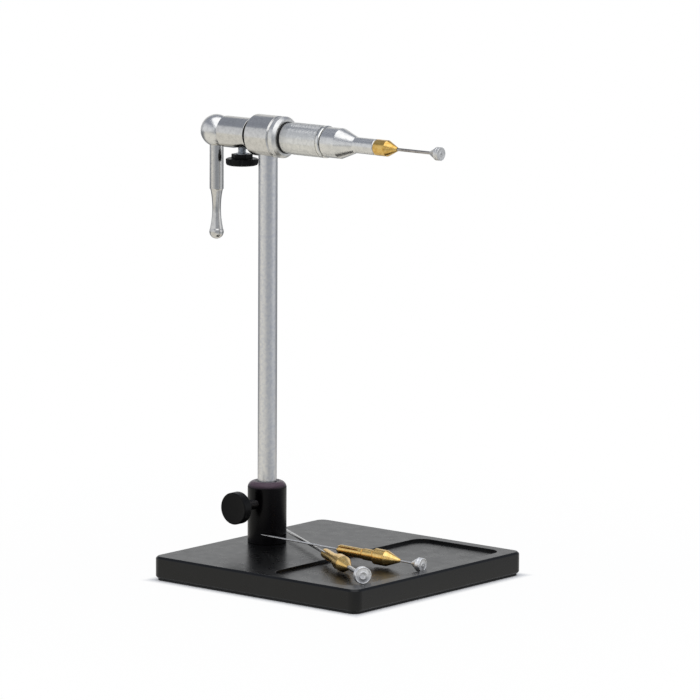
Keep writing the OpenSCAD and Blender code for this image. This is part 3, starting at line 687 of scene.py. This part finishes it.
@dataclass(frozen=True)
class Base:
    """The plate with its tray, the rubber pad, the socket and what is inside it."""

    plate_t: float = 11
    corner_r: float = 5
    chamfer: float = 1
    chamfer_edge: float = 0.25
    tray_len: float = 52.5
    tray_corner_r: float = 7
    tray_fillet: float = 0.15
    tray_edge: float = 0.2
    socket_h: float = 31
    socket_round: float = 3.4
    socket_bore: float = 6.05
    socket_floor: float = 5
    socket_foot: float = 0.2
    stud_hole_r: float = 2.55
    stud_hole: Numbers = (4, 12)

    def plate(self) -> None:
        """Makes the plate: a chamfered slab with its tray milled out."""
        width, thick, top, floor = BENCH.plate_w, self.plate_t, BENCH.plate_top, BENCH.tray_floor
        plate = bar("milled_plate", (0, 0, top - thick / 2), (width, width, thick),
                    corner=self.corner_r)
        soften(plate, self.chamfer, 1, 50)
        soften(plate, self.chamfer_edge, 2, 35)
        deep = top + self.chamfer - floor
        tray = bar("tray_cutter", (BENCH.tray_front - self.tray_len / 2, 0, floor + deep / 2),
                   (self.tray_len, 2 * BENCH.tray_side, deep), corner=self.tray_corner_r)
        soften(tray, self.tray_fillet, 2, 50)
        cut(plate, tray)
        self.break_tray_edge(plate)
        hand_over(plate, Matrix(), PLATE_BLACK, "base", "base_plate")

    def break_tray_edge(self, plate: Object) -> None:
        """Breaks the edge where the tray's wall meets the plate's top.

        Args:
            plate: The plate with its tray cut.
        """
        top, side, front = (size * MM for size in (
            BENCH.plate_top, BENCH.tray_side + 1, BENCH.tray_front + 1))
        walls = {key for face in plate.data.polygons if abs(face.normal.z) < 0.1
                 for key in face.edge_keys}
        rim = [edge.key in walls and all(
            abs(p.z - top) < 1e-6 and abs(p.y) < side and p.x < front for p in ends)
            for edge, ends in zip(plate.data.edges, edge_ends(plate))]
        break_edges(plate, rim, self.tray_edge, 2)

    def socket(self) -> None:
        """Makes the socket: a cup with a round top edge and a hole for the lock screw."""
        foot, r, edge, turn = BENCH.plate_top, BENCH.socket_r, self.socket_foot, self.socket_round
        top = foot + self.socket_h
        socket = lathe("turned_socket", [
            (foot + self.socket_floor, self.socket_bore), (top, self.socket_bore),
            *arc(top - turn, r - turn, turn, 0, 90, 16), (foot + edge, r), (foot, r - edge)])
        place(socket, BENCH.upright())
        drill(socket, BENCH.sideways(), self.stud_hole_r, *self.stud_hole, sides=48)
        hand_over(socket, Matrix(), SOCKET_BLACK, "base", "post_socket",
                  30)

    def build(self) -> None:
        """Builds the base."""
        self.plate()
        self.socket()
        dress(SHEET_RUBBER, "rubber_pad")
        dress(GROUND_STEEL.about(Axis.Z), "socket_screw")
        dress(ACETAL, "post_liner")


@dataclass(frozen=True)
class LockScrew:
    """The black knob at the socket's side and its threaded stud."""

    stud_r: float = 2.5
    stud_from: float = 7.9
    pitch: float = 0.8
    hub_from: float = 16
    hub_radii: Numbers = (3.15, 4.3, 4.7)
    disc_from: float = 21
    disc_to: float = 26
    knob_r: float = 8
    rear_round: float = 0.4
    face_round: float = 0.5
    dish_r: float = 6.9
    dish_floor_r: float = 6.5
    dish: float = 0.25

    def build(self) -> None:
        """Builds the lock screw."""
        where, rear, face, r = BENCH.sideways(), self.disc_from, self.disc_to, self.knob_r
        stud = Thread(self.stud_from, rear, self.stud_r, self.pitch).build("lock_stud_thread")
        hand_over(stud, where, BLACKED.about(Axis.Y), "lock_knob", "lock_stud", 25)
        back, front = self.rear_round, self.face_round
        hub, neck, foot = self.hub_radii
        profile = [(self.hub_from, hub), (rear - 0.3, neck), (rear, foot), (rear, r - back),
                   *arc(rear + back, r - back, back, 180, 90, 4)[1:],
                   *arc(face - front, r - front, front, 90, 0, 5),
                   (face, self.dish_r), (face - 0.15, self.dish_floor_r),
                   (face - self.dish, 3.0), (face - self.dish, 0.4)]
        turned("moulded_lock_knob", profile, where, KNOB_PLASTIC, "lock_knob",
               "lock_knob", width=0.1, angle=25)
        dress(BRASS.about(Axis.Y), "lock_shoe")


@dataclass(frozen=True)
class Column:
    """The post and the turned housing on top of it, with its sleeve and rings."""

    post_r: float = 4.75
    post_foot: float = 17.1
    foot_chamfer: float = 0.6
    post_top: float = 208.2
    top_chamfer: float = 0.3
    housing_r: float = 10.25
    housing_chamfer: float = 1.1
    half_len: float = 8
    seat_r: float = 7
    seat_depth: float = 1.5
    ring_bore: float = 4.3
    ring_front: float = 12.2
    sleeve_r: float = 7.8
    sleeve_rear: float = -28.2
    sleeve_chamfer: float = 1
    spigot_r: float = 6
    spigot_bore: float = 4.6
    bore_r: float = 6.01
    bore_depth: float = 6
    groove: float = 2.2
    groove_edge: float = 0.2
    washer_front: float = 12.8
    washer_r: float = 7.9
    washer_lip: float = 0.15
    drag_tools: tuple[Numbers, ...] = ((2.15, 0.0), (4.2, 7.0))

    def post(self) -> None:
        """Makes the post, a drawn bar with its ends chamfered."""
        r, foot, top = self.post_r, self.foot_chamfer, self.top_chamfer
        turned("drawn_post", [(self.post_foot, r - foot), (self.post_foot + foot, r),
                              (self.post_top - top, r), (self.post_top, r - top)],
               BENCH.upright(), DRAWN.about(Axis.Z), "head", "post", width=0.1)

    def housing(self) -> None:
        """Makes the housing and the ring that closes its front."""
        r, h, c, bore, hole = (self.housing_r, self.half_len, self.housing_chamfer, self.bore_r,
                               self.ring_bore)
        face, seat, front = h - 0.12, h - self.seat_depth, self.ring_front
        turned("turned_housing", [
            (-h, bore), (-h, r - c), (c - h, r), (h - c, r), (face, r - c), (face, self.seat_r),
            (seat, self.seat_r), (seat, bore), (-h, bore)],
            BENCH.head(), TUMBLED.about(Axis.X), "head", "main_housing")
        fit = self.seat_r - 0.01
        turned("turned_front_ring", [
            (seat, hole), (seat, fit), (h, fit), (h, r - 0.35), (h + 0.35, r), (front - 1.6, r),
            (front, r - 1.2), (front, hole), (seat, hole)],
            BENCH.head(), COARSE.about(Axis.X), "head", "front_ring")

    def sleeve(self) -> None:
        """Makes the rear sleeve with the spot face and the hole for the drag screw."""
        r, rear, h, c = self.sleeve_r, self.sleeve_rear, self.half_len, self.sleeve_chamfer
        bore, groove, edge = self.bore_r, -h - self.groove, self.groove_edge
        deep = rear + self.bore_depth
        sleeve = lathe("turned_sleeve", [
            (rear, bore), (rear, r - c), (rear + c, r), (groove - edge, r), (groove, r - edge),
            (groove, r - c), (-h, r - c), (-h, self.spigot_r), (0, self.spigot_r),
            (0, self.spigot_bore), (deep, self.spigot_bore), (deep, bore), (rear, bore)])
        soften(sleeve)
        for radius, top in self.drag_tools:
            drill(sleeve, at(BENCH.drag_station, 0, 0) @ DOWN, radius, top, 20)
        hand_over(sleeve, BENCH.head(), TUMBLED.about(Axis.X), "head",
                  "rear_sleeve", 30)
        # The groove's faces get the painted shade, a dark matt second material where the gap lies
        # in shadow.
        sleeve.data.materials.append(GROOVE_SHADE.build())
        for face in sleeve.data.polygons:
            x, y, z = face.center / MM
            away = math.hypot(y, z - BENCH.axis_h)
            if groove - 0.1 < x - BENCH.post_x < -h + 0.1 and away < r - 0.15:
                face.material_index = 1

    def washer(self) -> None:
        """Makes the black friction ring."""
        r, rear, front, lip, hole = (self.washer_r, self.ring_front, self.washer_front,
                                     self.washer_lip, self.ring_bore)
        turned("friction_washer", [
            (rear, hole), (rear, r - lip), (rear + lip, r), (front - lip, r), (front, r - lip),
            (front, hole), (rear, hole)],
            BENCH.head(), WASHER_RUBBER, "head", "friction_ring", width=0,
            crisp=30)

    def build(self) -> None:
        """Builds the post and the housing."""
        self.post()
        self.housing()
        self.sleeve()
        self.washer()
        dress(GROUND_STEEL.about(Axis.X), "post_dowel")
        dress(BRONZE.about(Axis.X), "rear_bush", "front_bush")


@dataclass(frozen=True)
class DragScrew:
    """The black thumb screw under the sleeve that brakes the spindle."""

    top: float = 5.5
    stud_r: float = 2.1
    pitch: float = 0.7
    flange_r: float = 3
    flange_t: float = 0.5
    stud_end: float = 14.25
    knob_top: float = 10.4
    hub_h: float = 2.1
    hub_r: float = 5.45
    disc_h: float = 3.5
    disc_r: float = 8.1
    notches: int = 10
    notch_depth: float = 0.45

    def stud(self) -> None:
        """Makes the zinc stud: a rolled thread on a flange."""
        flange, base, r = self.knob_top - self.flange_t, self.knob_top, self.flange_r
        stud = Thread(self.top, flange + self.pitch, self.stud_r, self.pitch).build(
            "drag_stud_thread")
        collar = lathe("drag_flange", [
            (flange, 1.9), (flange, r - 0.1), (flange + 0.1, r), (base, r), (base, self.stud_r),
            (self.stud_end, self.stud_r)], 64)
        take(stud)
        collar.select_set(True)
        bpy.ops.object.join()
        hand_over(stud, BENCH.hanging(BENCH.drag_station), ZINC.about(Axis.Z), "drag_knob",
                  "drag_stud", 25)

    def knob(self) -> None:
        """Makes the moulded knob: a six-sided hub on a fluted disc."""
        r, top = self.disc_r, self.knob_top + self.hub_h
        bottom = top + self.disc_h
        disc = lathe("moulded_drag_knob", [
            (top, r - 0.9), (top + 0.25, r - 0.25), (top + 0.6, r), (bottom - 0.9, r - 0.1),
            (bottom - 0.3, r - 0.45), (bottom, r - 1.2)], 120)
        flute = r / 5
        for i in range(self.notches):
            turn = Matrix.Rotation(math.radians((i + 0.5) * 360 / self.notches), 4, "X")
            drill(disc, turn @ at(0, 0, r + flute - self.notch_depth), flute, top - 1,
                  bottom + 1, 32)
        soften(disc, 0.15, 2, 30)
        hub = lathe("hub", [(self.knob_top, self.hub_r), (top + 0.5, self.hub_r)], 6)
        soften(hub, 0.35, 3, 30)
        take(disc)
        hub.select_set(True)
        bpy.ops.object.join()
        hand_over(disc, BENCH.hanging(BENCH.drag_station), KNOB_PLASTIC, "drag_knob",
                  "drag_knob", 35)

    def build(self) -> None:
        """Builds the drag screw."""
        self.stud()
        self.knob()
        dress(NYLON, "drag_shoe")


@dataclass(frozen=True)
class Crank:
    """The ball on the spindle's rear end and the handle that hangs from it."""

    ball_back: float = 33.5
    ball_r: float = 8
    ball_face: float = -28.3
    seat_drop: float = 6.6
    seat_r: float = 3.55
    tenon_len: float = 2.4
    tenon_r: float = 2
    handle_r: float = 3.5
    straight_drop: float = 29.1
    shoulder_r: float = 3.15
    shoulder_h: float = 0.3
    waist_r: float = 2.15
    waist_drop: float = 9.6
    waist_step: float = 0.8
    bulb_drop: float = 11.9
    bulb_r: float = 3.6

    def ball(self) -> None:
        """Makes the ball, turned with a flat front."""
        centre = -self.ball_back
        edge = math.degrees(math.acos((self.ball_face - centre) / self.ball_r))
        ball = lathe("turned_ball", arc(centre, 0, self.ball_r, 178, edge, 40), 128)
        soften(ball, 0.2, 3, 20)
        drill(ball, at(centre, 0, 0) @ DOWN, self.seat_r, self.seat_drop, 20)
        hand_over(ball, BENCH.head(), BRIGHT.about(Axis.X), "spindle",
                  "crank_ball", 30)

    def handle(self) -> None:
        """Makes the handle: a straight top, a hollow waist and a round bulb."""
        rise = self.shoulder_r - self.waist_r
        hollow = (self.waist_drop ** 2 + rise ** 2) / (2 * rise)
        seat, drop, r = self.seat_drop, self.straight_drop, self.handle_r
        waist, shoulder = drop + self.waist_drop, drop + self.shoulder_h
        bulb = waist + self.bulb_drop
        profile = [(seat - self.tenon_len, self.tenon_r), (seat, self.tenon_r), (seat, r - 0.2),
                   (seat + 0.2, r), (drop, r), (shoulder, self.shoulder_r)]
        for x in (shoulder + i * self.waist_step for i in range(1, 30)):
            deep = math.sqrt(hollow ** 2 - (x - waist) ** 2)
            thin = min(self.shoulder_r, self.waist_r + hollow - deep)
            if self.bulb_r ** 2 - (x - bulb) ** 2 > thin ** 2:
                break
            profile.append((x, thin))
        first = 180 - math.degrees(math.asin(self.shoulder_r / self.bulb_r))
        profile += arc(bulb, 0, self.bulb_r, first, 3, 26)
        turned("turned_handle", profile, BENCH.hanging(-self.ball_back), POLISHED.about(Axis.Z),
               "spindle", "crank_handle", width=0.1, angle=30, crisp=30)

    def build(self) -> None:
        """Builds the crank."""
        self.ball()
        self.handle()
        dress(GROUND_STEEL.about(Axis.X), "spindle")


@dataclass(frozen=True)
class Chuck:
    """The knurled grip and the nose that the collet sits in."""

    grip_rear: float = 12.9
    grip_front: float = 38.3
    grip_r: float = 7.95
    grip_rear_r: float = 7.5
    grip_edge: float = 0.4
    taper_len: float = 5
    band: float = 1.6
    groove: float = 0.4
    bore_r: float = 5.65
    starts: int = 56
    row: float = 0.44
    knurl_depth: float = 0.08
    knurl_crisp: float = 12
    nose_rear: float = 38.4
    nose_cone: float = 47.3
    neck_rear: float = 56.5
    neck_front: float = 69.2
    nose_r: float = 7.45
    nose_chamfer: float = 0.5
    neck_r: float = 3.9
    neck_chamfer: float = 0.35
    nose_bore: float = 2.9
    closer_bore: float = 3.7
    closer_front: float = 50.2
    skirt_bore: float = 5.61
    skirt_front: float = 47

    def knurled(self, station: float) -> float:
        """Gives the grip's radius over the knurl at a station."""
        share = min(1.0, (station - self.grip_rear) / self.taper_len)
        return self.grip_rear_r + (self.grip_r - self.grip_rear_r) * share

    def grip(self) -> None:
        """Makes the grip, with a diamond knurl pressed between its rear edge and its band."""
        start, end, r, edge = self.grip_rear, self.grip_front, self.grip_r, self.grip_edge
        rear, front = start + 0.45, end - self.band - self.groove
        rows = 2 * round((front - rear) / self.row / 2)
        stations = [rear + (front - rear) * i / rows for i in range(rows + 1)]
        low, band = r - self.groove, front + self.groove
        columns = 2 * self.starts
        grip = lathe("knurled_sleeve", [
            (start, self.bore_r), (start, self.grip_rear_r - edge),
            *((x, self.knurled(x)) for x in stations), (front + 0.05, low), (band - 0.05, low),
            (band, r), (end - edge, r), (end, r - edge), (end, self.bore_r),
            (start, self.bore_r)], columns)
        # Every second vertex of each row is pressed in, in turns, which leaves the diamonds.
        pressed = []
        for vertex in grip.data.vertices:
            x, y, z = vertex.co / MM
            row = (x - rear) / (front - rear) * rows
            column = round(math.atan2(z, y) / math.tau * columns)
            pressed.append(-0.01 < row < rows + 0.01
                           and math.hypot(y, z) > self.grip_rear_r - 0.1
                           and (round(row) + column) % 2 == 1)
        pick(grip, "VERT", pressed)
        k = 1 - self.knurl_depth / r
        bpy.ops.transform.resize(value=(1, k, k), center_override=(0, 0, 0))
        bpy.ops.mesh.select_all(action="SELECT")
        bpy.ops.mesh.quads_convert_to_tris(quad_method="SHORTEST_DIAGONAL")
        place(grip, BENCH.head())
        bpy.ops.object.shade_smooth_by_angle(angle=math.radians(self.knurl_crisp))
        # The grip takes the copy of the tumbled finish painted lighter, a painted highlight.
        hand_over(grip, Matrix(), LIGHTENED_KNURL.about(Axis.X), "grip", "knurled_grip",
                  None)

    def nose(self) -> None:
        """Makes the nose: a cylinder, a cone and a bored neck."""
        r, n, rear, front = self.nose_r, self.neck_r, self.nose_rear, self.neck_front
        c, e, skirt, closer = (self.nose_chamfer, self.neck_chamfer, self.skirt_bore,
                               self.closer_bore)
        turned("turned_nose", [
            (rear, skirt), (rear, r - c), (rear + c, r), (self.nose_cone, r),
            (self.neck_rear, n), (front - e, n), (front, n - e), (front, self.nose_bore),
            (self.closer_front, self.nose_bore), (self.closer_front, closer),
            (self.skirt_front, closer), (self.skirt_front, skirt), (rear, skirt)],
            BENCH.head(), BRIGHT.about(Axis.X), "spindle", "nose",
            width=0.15)

    def build(self) -> None:
        """Builds the chuck."""
        self.grip()
        self.nose()
        dress(GROUND_STEEL.about(Axis.X), "closer", "closer_dogs")


@dataclass(frozen=True)
class Mandrel:
    """A collet, its pin and the disc on the pin's end, from the disc's face back along -X."""

    name: str
    body: str
    pin_body: str
    collet_node: str
    pin_node: str
    disc_node: str
    pin_r: float
    pin_len: float
    front_r: float
    front_len: float
    point_len: float
    reach: float
    cone_len: float
    disc_r: float
    hole_r: float
    where: Matrix = field(default_factory=Matrix)
    steel: Metal = SILVER_STEEL
    # The spares default to the brass and faced aluminium painted lighter, a painted highlight.
    brass: Metal = LIGHTENED_BRASS
    faced: Metal = LIGHTENED_FACED
    head_len: float = 6.8
    head_r: float = 3.95
    collar_r: float = 2.85
    collar_len: float = 6
    groove: float = 0.8
    shank_r: float = 2.5
    shank_len: float = 15.4
    relief: float = 0.3
    slot_w: float = 0.8
    slot_len: float = 12.5
    rim: float = 3
    back: float = 3.5
    edge: float = 0.3

    def collet(self) -> None:
        """Makes the brass collet with its four slots."""
        bore, tip = self.front_r + 0.05, -self.reach
        cone = tip - self.cone_len
        head = cone - self.head_len
        groove = head - self.groove
        collar = groove - self.collar_len
        rear = collar - self.shank_len
        e, hr, cr, sr = self.edge, self.head_r, self.collar_r, self.shank_r
        relief, neck = sr - self.relief, collar - 2 * self.relief
        collet = lathe(f"{self.name}_collet_body", [
            (rear, bore), (rear, sr * 0.75), (rear + sr / 2, sr), (neck, sr), (neck, relief),
            (collar, relief), (collar, cr - e), (collar + e, cr), (groove, cr), (groove, sr),
            (head, sr), (head, hr - e), (head + e, hr), (cone, hr), (tip, bore + e / 2),
            (tip, bore), (rear, bore)])
        soften(collet, 0.08)
        for turn in (45, 135):
            cut(collet, bar("saw", (rear + self.slot_len / 2 - 1, 0, 0),
                            (self.slot_len + 2, 2 * hr, self.slot_w), turn))
        hand_over(collet, self.where, self.brass.about(Axis.X), self.body,
                  self.collet_node, 14)

    def pin(self) -> None:
        """Makes the pin with its pointed tail."""
        tail, front = -self.pin_len, -self.front_len
        profile = [(tail, self.pin_r / 3), (self.point_len + tail, self.pin_r),
                   (front, self.pin_r)]
        if self.front_r != self.pin_r:
            profile.append((front + 0.2, self.front_r))
        profile.append((-self.rim / 2 - self.edge, self.front_r))
        turned(f"{self.name}_pin_body", profile, self.where, self.steel.about(Axis.X),
               self.pin_body, self.pin_node, width=0, sides=40)

    def disc(self) -> None:
        """Makes the disc with the rings turned in its face and its blind hole."""
        r, hole, e, rim, middle = self.disc_r, self.hole_r, self.edge, -self.rim, -self.rim / 2
        rear = rim - self.back
        outer, inner = r - 1.6 * e, hole + 1.4 * e
        profile = [(rear, self.front_r + 0.01), (rear, self.front_r + e), (rim, r - e),
                   (e + rim, r), (middle - e, r), (middle, r - e / 2), (e + middle, r),
                   (-e / 2, r), (0, r - e / 2), (0, outer), (-e / 2, outer - e / 2),
                   (-e / 2, inner + e / 2), (0, inner), (0, hole), (middle, hole),
                   (middle, 0.05)]
        turned(f"{self.name}_disc_body", profile, self.where, self.faced.about(Axis.X),
               self.pin_body, self.disc_node, width=0.06, angle=20,
               sides=80)

    def build(self) -> None:
        """Builds the collet, the pin and the disc."""
        self.collet()
        self.pin()
        self.disc()


FITTED = Mandrel("fitted", "collet", "mandrel", "collet", "mandrel_pin", "mandrel_disc",
                 pin_r=0.75, pin_len=100, front_r=0.75, front_len=50, point_len=3, reach=27,
                 cone_len=6, disc_r=3.25, hole_r=0.375, where=BENCH.head(BENCH.face_station),
                 steel=GROUND_STEEL, brass=BRASS, faced=FACED)
LONG_ROD = Mandrel("rod", "long_rod", "long_rod", "rod_collet", "spare_rod", "rod_disc",
                   pin_r=0.75, pin_len=124, front_r=1.1, front_len=34, point_len=3, reach=21.4,
                   cone_len=8.3, disc_r=4.2, hole_r=1.5)
NEEDLE = Mandrel("needle", "needle", "needle", "needle_collet", "spare_needle", "needle_disc",
                 pin_r=0.5, pin_len=98, front_r=0.5, front_len=49, point_len=6, reach=13.3,
                 cone_len=8.3, disc_r=3.4, hole_r=0.5)


@dataclass(frozen=True)
class Spares:
    """The two spare mandrels that lie crossed in the tray."""

    needle_x: float = 56.9
    needle_y: float = -4
    needle_gap: float = 1.3
    rod_x: float = 54
    rod_y: float = -46.1
    rod_gap: float = 3.8
    rest_gap: float = 0.3

    def heading(self, x: float, y: float, gap: float) -> float:
        """Gives a spare's direction from its face towards its tail, past the socket.

        Args:
            x: The face's place along X.
            y: The face's place along Y.
            gap: How far its line passes from the socket, negative behind it.

        Returns:
            The direction in radians.
        """
        away = math.hypot(BENCH.post_x - x, y)
        aside = math.asin((BENCH.socket_r + abs(gap)) / away)
        return math.atan2(-y, BENCH.post_x - x) + math.copysign(aside, gap)

    def build(self) -> None:
        """Builds both spares in their places."""
        needle_dir = self.heading(self.needle_x, self.needle_y, self.needle_gap)
        rod_dir = self.heading(self.rod_x, self.rod_y, -self.rod_gap)
        dx, dy = self.rod_x - self.needle_x, self.rod_y - self.needle_y
        cross = ((dx * math.sin(rod_dir) - dy * math.cos(rod_dir))
                 / math.sin(rod_dir - needle_dir))
        low = BENCH.tray_floor + self.rest_gap
        rod_z, needle_z = low + LONG_ROD.disc_r, low + NEEDLE.disc_r
        over = rod_z + LONG_ROD.pin_r + self.rest_gap + NEEDLE.pin_r
        tilt = math.atan((over - needle_z) / cross)
        rod_at = at(self.rod_x, self.rod_y, rod_z) @ Matrix.Rotation(rod_dir - math.pi, 4, "Z")
        replace(LONG_ROD, where=rod_at).build()
        needle_at = (at(self.needle_x, self.needle_y, needle_z)
                     @ Matrix.Rotation(needle_dir - math.pi, 4, "Z")
                     @ Matrix.Rotation(tilt, 4, "Y"))
        replace(NEEDLE, where=needle_at).build()


# The studio


@dataclass(frozen=True)
class Camera:
    """The photograph's viewpoint, fitted to the plate's corners and the post."""

    azimuth: float = 39.666
    elevation: float = 9.423
    distance: float = 2744.198
    focal: float = 5601.458
    roll: float = 0.291
    centre_x: float = -11.022
    centre_y: float = 27.125
    aim_height: float = 100
    image: float = 700
    sensor: float = 36
    far: float = 50

    def right(self) -> Vector:
        """Gives the level direction to the camera's right."""
        a = math.radians(self.azimuth)
        return Vector((math.cos(a), math.sin(a), 0))

    def towards(self) -> Vector:
        """Gives the level direction towards the camera."""
        a = math.radians(self.azimuth)
        return Vector((math.sin(a), -math.cos(a), 0))

    def build(self) -> None:
        """Adds the camera."""
        a, e, roll = (math.radians(v) for v in (self.azimuth, self.elevation, self.roll))
        back = Vector((math.sin(a) * math.cos(e), -math.cos(a) * math.cos(e), math.sin(e)))
        right = self.right()
        up = back.cross(right)
        side = math.cos(roll) * right + math.sin(roll) * up
        rise = math.cos(roll) * up - math.sin(roll) * right
        turn = Matrix((side, rise, back)).transposed().to_4x4()
        spot = (Vector((0, 0, self.aim_height)) + self.distance * back) * MM
        deselect()
        bpy.ops.object.camera_add()
        camera = bpy.context.object
        camera.matrix_world = Matrix.Translation(spot) @ turn
        camera.data.sensor_width = self.sensor
        camera.data.lens = self.focal * self.sensor / self.image
        camera.data.shift_x = -self.centre_x / self.image
        camera.data.shift_y = self.centre_y / self.image
        camera.data.clip_end = self.far
        bpy.context.scene.camera = camera


CAMERA = Camera()


@dataclass(frozen=True)
class Softbox:
    """A flat lamp that faces the vise, placed in metres from it."""

    name: str
    aside: float
    ahead: float
    height: float
    width: float
    tall: float
    radiance: float
    aim_height: float = 0.15

    def build(self) -> None:
        """Adds the lamp."""
        spot = CAMERA.right() * self.aside + CAMERA.towards() * self.ahead
        spot.z = self.height
        deselect()
        bpy.ops.object.light_add(type="AREA", location=spot)
        lamp = bpy.context.object
        lamp.name = self.name
        aim = spot - Vector((0, 0, self.aim_height))
        lamp.rotation_euler = aim.to_track_quat("Z", "Y").to_euler()
        lamp.data.shape = "RECTANGLE"
        lamp.data.size = self.width
        lamp.data.size_y = self.tall
        lamp.data.energy = self.radiance * math.pi * self.width * self.tall


@dataclass(frozen=True)
class Zone:
    """A part of the floor, past a line across it, that looks dimmer in the vise's surfaces."""

    tone: str
    aside: float
    ahead: float
    start: float
    end: float


@dataclass(frozen=True)
class Studio:
    """A white floor and backdrop, soft lamps and a dim room in front.

    Each group of four numbers maps the range of the first two to that of the last two.
    """

    ceiling: str = "#989eac"
    room: str = "#b4b8c0"
    backdrop: str = "#eaebec"
    flag: str = "#a2a5aa"
    white: str = "#ffffff"
    floor_colour: str = "#f2f2f2"
    floor_tone: str = "#f0eee8"
    floor_size: float = 3.0
    floor_drop: float = 0.0001
    facing: Numbers = (0.78, 0.86, 0.0, 1.0)
    beside: Numbers = (0.6, 0.8, 0.0, 1.0)
    below: Numbers = (0.48, 0.58, 1.0, 0.0)
    overhead: Numbers = (0.1, 0.6, 0.0, 1.0)
    contact: Numbers = (0.065, 0.0695, 0.2, 1.0)
    shadow: Numbers = (0.1, 0.3, 0.97, 1.0)
    zones: tuple[Zone, ...] = (
        Zone("#c8ccd3", 0.82, 0.57, 0.05, 0.2),
        Zone("#8d929a", 0.0, 1.0, 0.5, 1.2),
        Zone("#84878c", 0.0, -1.0, 0.15, 0.32),
    )
    lamps: tuple[Softbox, ...] = (
        Softbox("left_wall", -1.4, 0.45, 0.55, 3.9, 1.1, 0.41),
        Softbox("overhead_box", 0.08, 0.41, 1.277, 1.3, 2.2, 1.2),
        Softbox("right_reflector", 1.5, 0.2, 0.4, 1.4, 1.0, 0.5),
    )

    def world(self) -> None:
        """Shows white behind the vise, and to its surfaces a lit backdrop in a dim room."""
        world = bpy.data.worlds.new("studio")
        bpy.context.scene.world = world
        world.use_nodes = True
        tree = world.node_tree
        tree.nodes.clear()
        path = add(tree, "ShaderNodeLightPath").outputs
        heading = add(tree, "ShaderNodeTexCoord").outputs["Generated"]
        rise = add(tree, "ShaderNodeSeparateXYZ", {0: heading}).outputs[2]
        behind = add(tree, "ShaderNodeVectorMath", {0: heading, 1: -CAMERA.towards()},
                     operation="DOT_PRODUCT").outputs[1]
        facing, beside, below, overhead = (
            add(tree, "ShaderNodeMapRange", {0: value} | dict(enumerate(span, 1)))
            for value, span in ((behind, self.facing), (behind, self.beside),
                                (rise, self.below), (rise, self.overhead)))
        lit, flagged = (
            add(tree, "ShaderNodeMath", {0: share, 1: below}, operation="MULTIPLY")
            for share in (facing, beside))
        seen = add(tree, "ShaderNodeMath", operation="MAXIMUM",
                   inputs={0: path["Is Camera Ray"], 1: path["Is Transmission Ray"]})
        colour = linear(self.room)
        for share, tone in ((overhead, self.ceiling), (flagged, self.flag),
                            (lit, self.backdrop), (seen, self.white)):
            colour = add(tree, "ShaderNodeMix", {0: share, 6: colour, 7: linear(tone)},
                         data_type="RGBA").outputs[2]
        background = add(tree, "ShaderNodeBackground", {"Color": colour})
        add(tree, "ShaderNodeOutputWorld", {"Surface": background})

    def floor(self) -> None:
        """Adds the floor, which shows white with a faint shadow and has its dimmer zones."""
        deselect()
        bpy.ops.mesh.primitive_plane_add(size=self.floor_size,
                                         location=(0, 0, -self.floor_drop))
        floor = bpy.context.object
        floor.name = "studio_floor"
        material, tree = blank_material("white_paper_sweep")
        path = add(tree, "ShaderNodeLightPath").outputs
        spot = add(tree, "ShaderNodeTexCoord").outputs["Object"]
        mirrored = linear(self.floor_tone)
        for zone in self.zones:
            line = CAMERA.right() * zone.aside + CAMERA.towards() * zone.ahead
            past = add(tree, "ShaderNodeVectorMath", {0: spot, 1: line},
                       operation="DOT_PRODUCT").outputs[1]
            share = add(tree, "ShaderNodeMapRange", {0: past, 1: zone.start, 2: zone.end})
            mirrored = add(tree, "ShaderNodeMix", {0: share, 6: mirrored, 7: linear(zone.tone)},
                           data_type="RGBA").outputs[2]
        tone = add(tree, "ShaderNodeMix", data_type="RGBA", inputs={
            0: path["Is Glossy Ray"], 6: linear(self.white), 7: mirrored}).outputs[2]
        shown = path["Is Camera Ray"]
        for ray in ("Is Transmission Ray", "Is Glossy Ray"):
            shown = add(tree, "ShaderNodeMath", {0: shown, 1: path[ray]}, operation="MAXIMUM")
        apart = add(tree, "ShaderNodeVectorMath", {0: spot}, operation="ABSOLUTE")
        sides = add(tree, "ShaderNodeSeparateXYZ", {0: apart}).outputs
        away = add(tree, "ShaderNodeMath", {0: sides[0], 1: sides[1]}, operation="MAXIMUM")
        for span in (self.contact, self.shadow):
            clean = add(tree, "ShaderNodeMapRange", {0: away} | dict(enumerate(span, 1)))
            shown = add(tree, "ShaderNodeMath", {0: shown, 1: clean}, operation="MULTIPLY")
        paper = add(tree, "ShaderNodeBsdfDiffuse", {"Color": linear(self.floor_colour)})
        glow = add(tree, "ShaderNodeEmission", {"Color": tone, "Strength": 1.0})
        mix = add(tree, "ShaderNodeMixShader", {0: shown, 1: paper, 2: glow})
        add(tree, "ShaderNodeOutputMaterial", {0: mix})
        floor.data.materials.append(material)

    def build(self) -> None:
        """Builds the camera, the lamps, the surround and the floor."""
        CAMERA.build()
        for lamp in self.lamps:
            lamp.build()
        self.world()
        self.floor()
        bpy.context.scene.view_settings.view_transform = "Standard"


def main() -> None:
    """Builds the studio and every sub-assembly, in order."""
    logging.basicConfig(level=logging.INFO, format="%(name)s: %(message)s")
    for assembly in (Studio(), Base(), LockScrew(), Column(), DragScrew(), Crank(), Chuck(),
                     FITTED, Spares()):
        LOG.info("building %s", type(assembly).__name__)
        assembly.build()
    deselect()


if __name__ == "__main__":
    main()
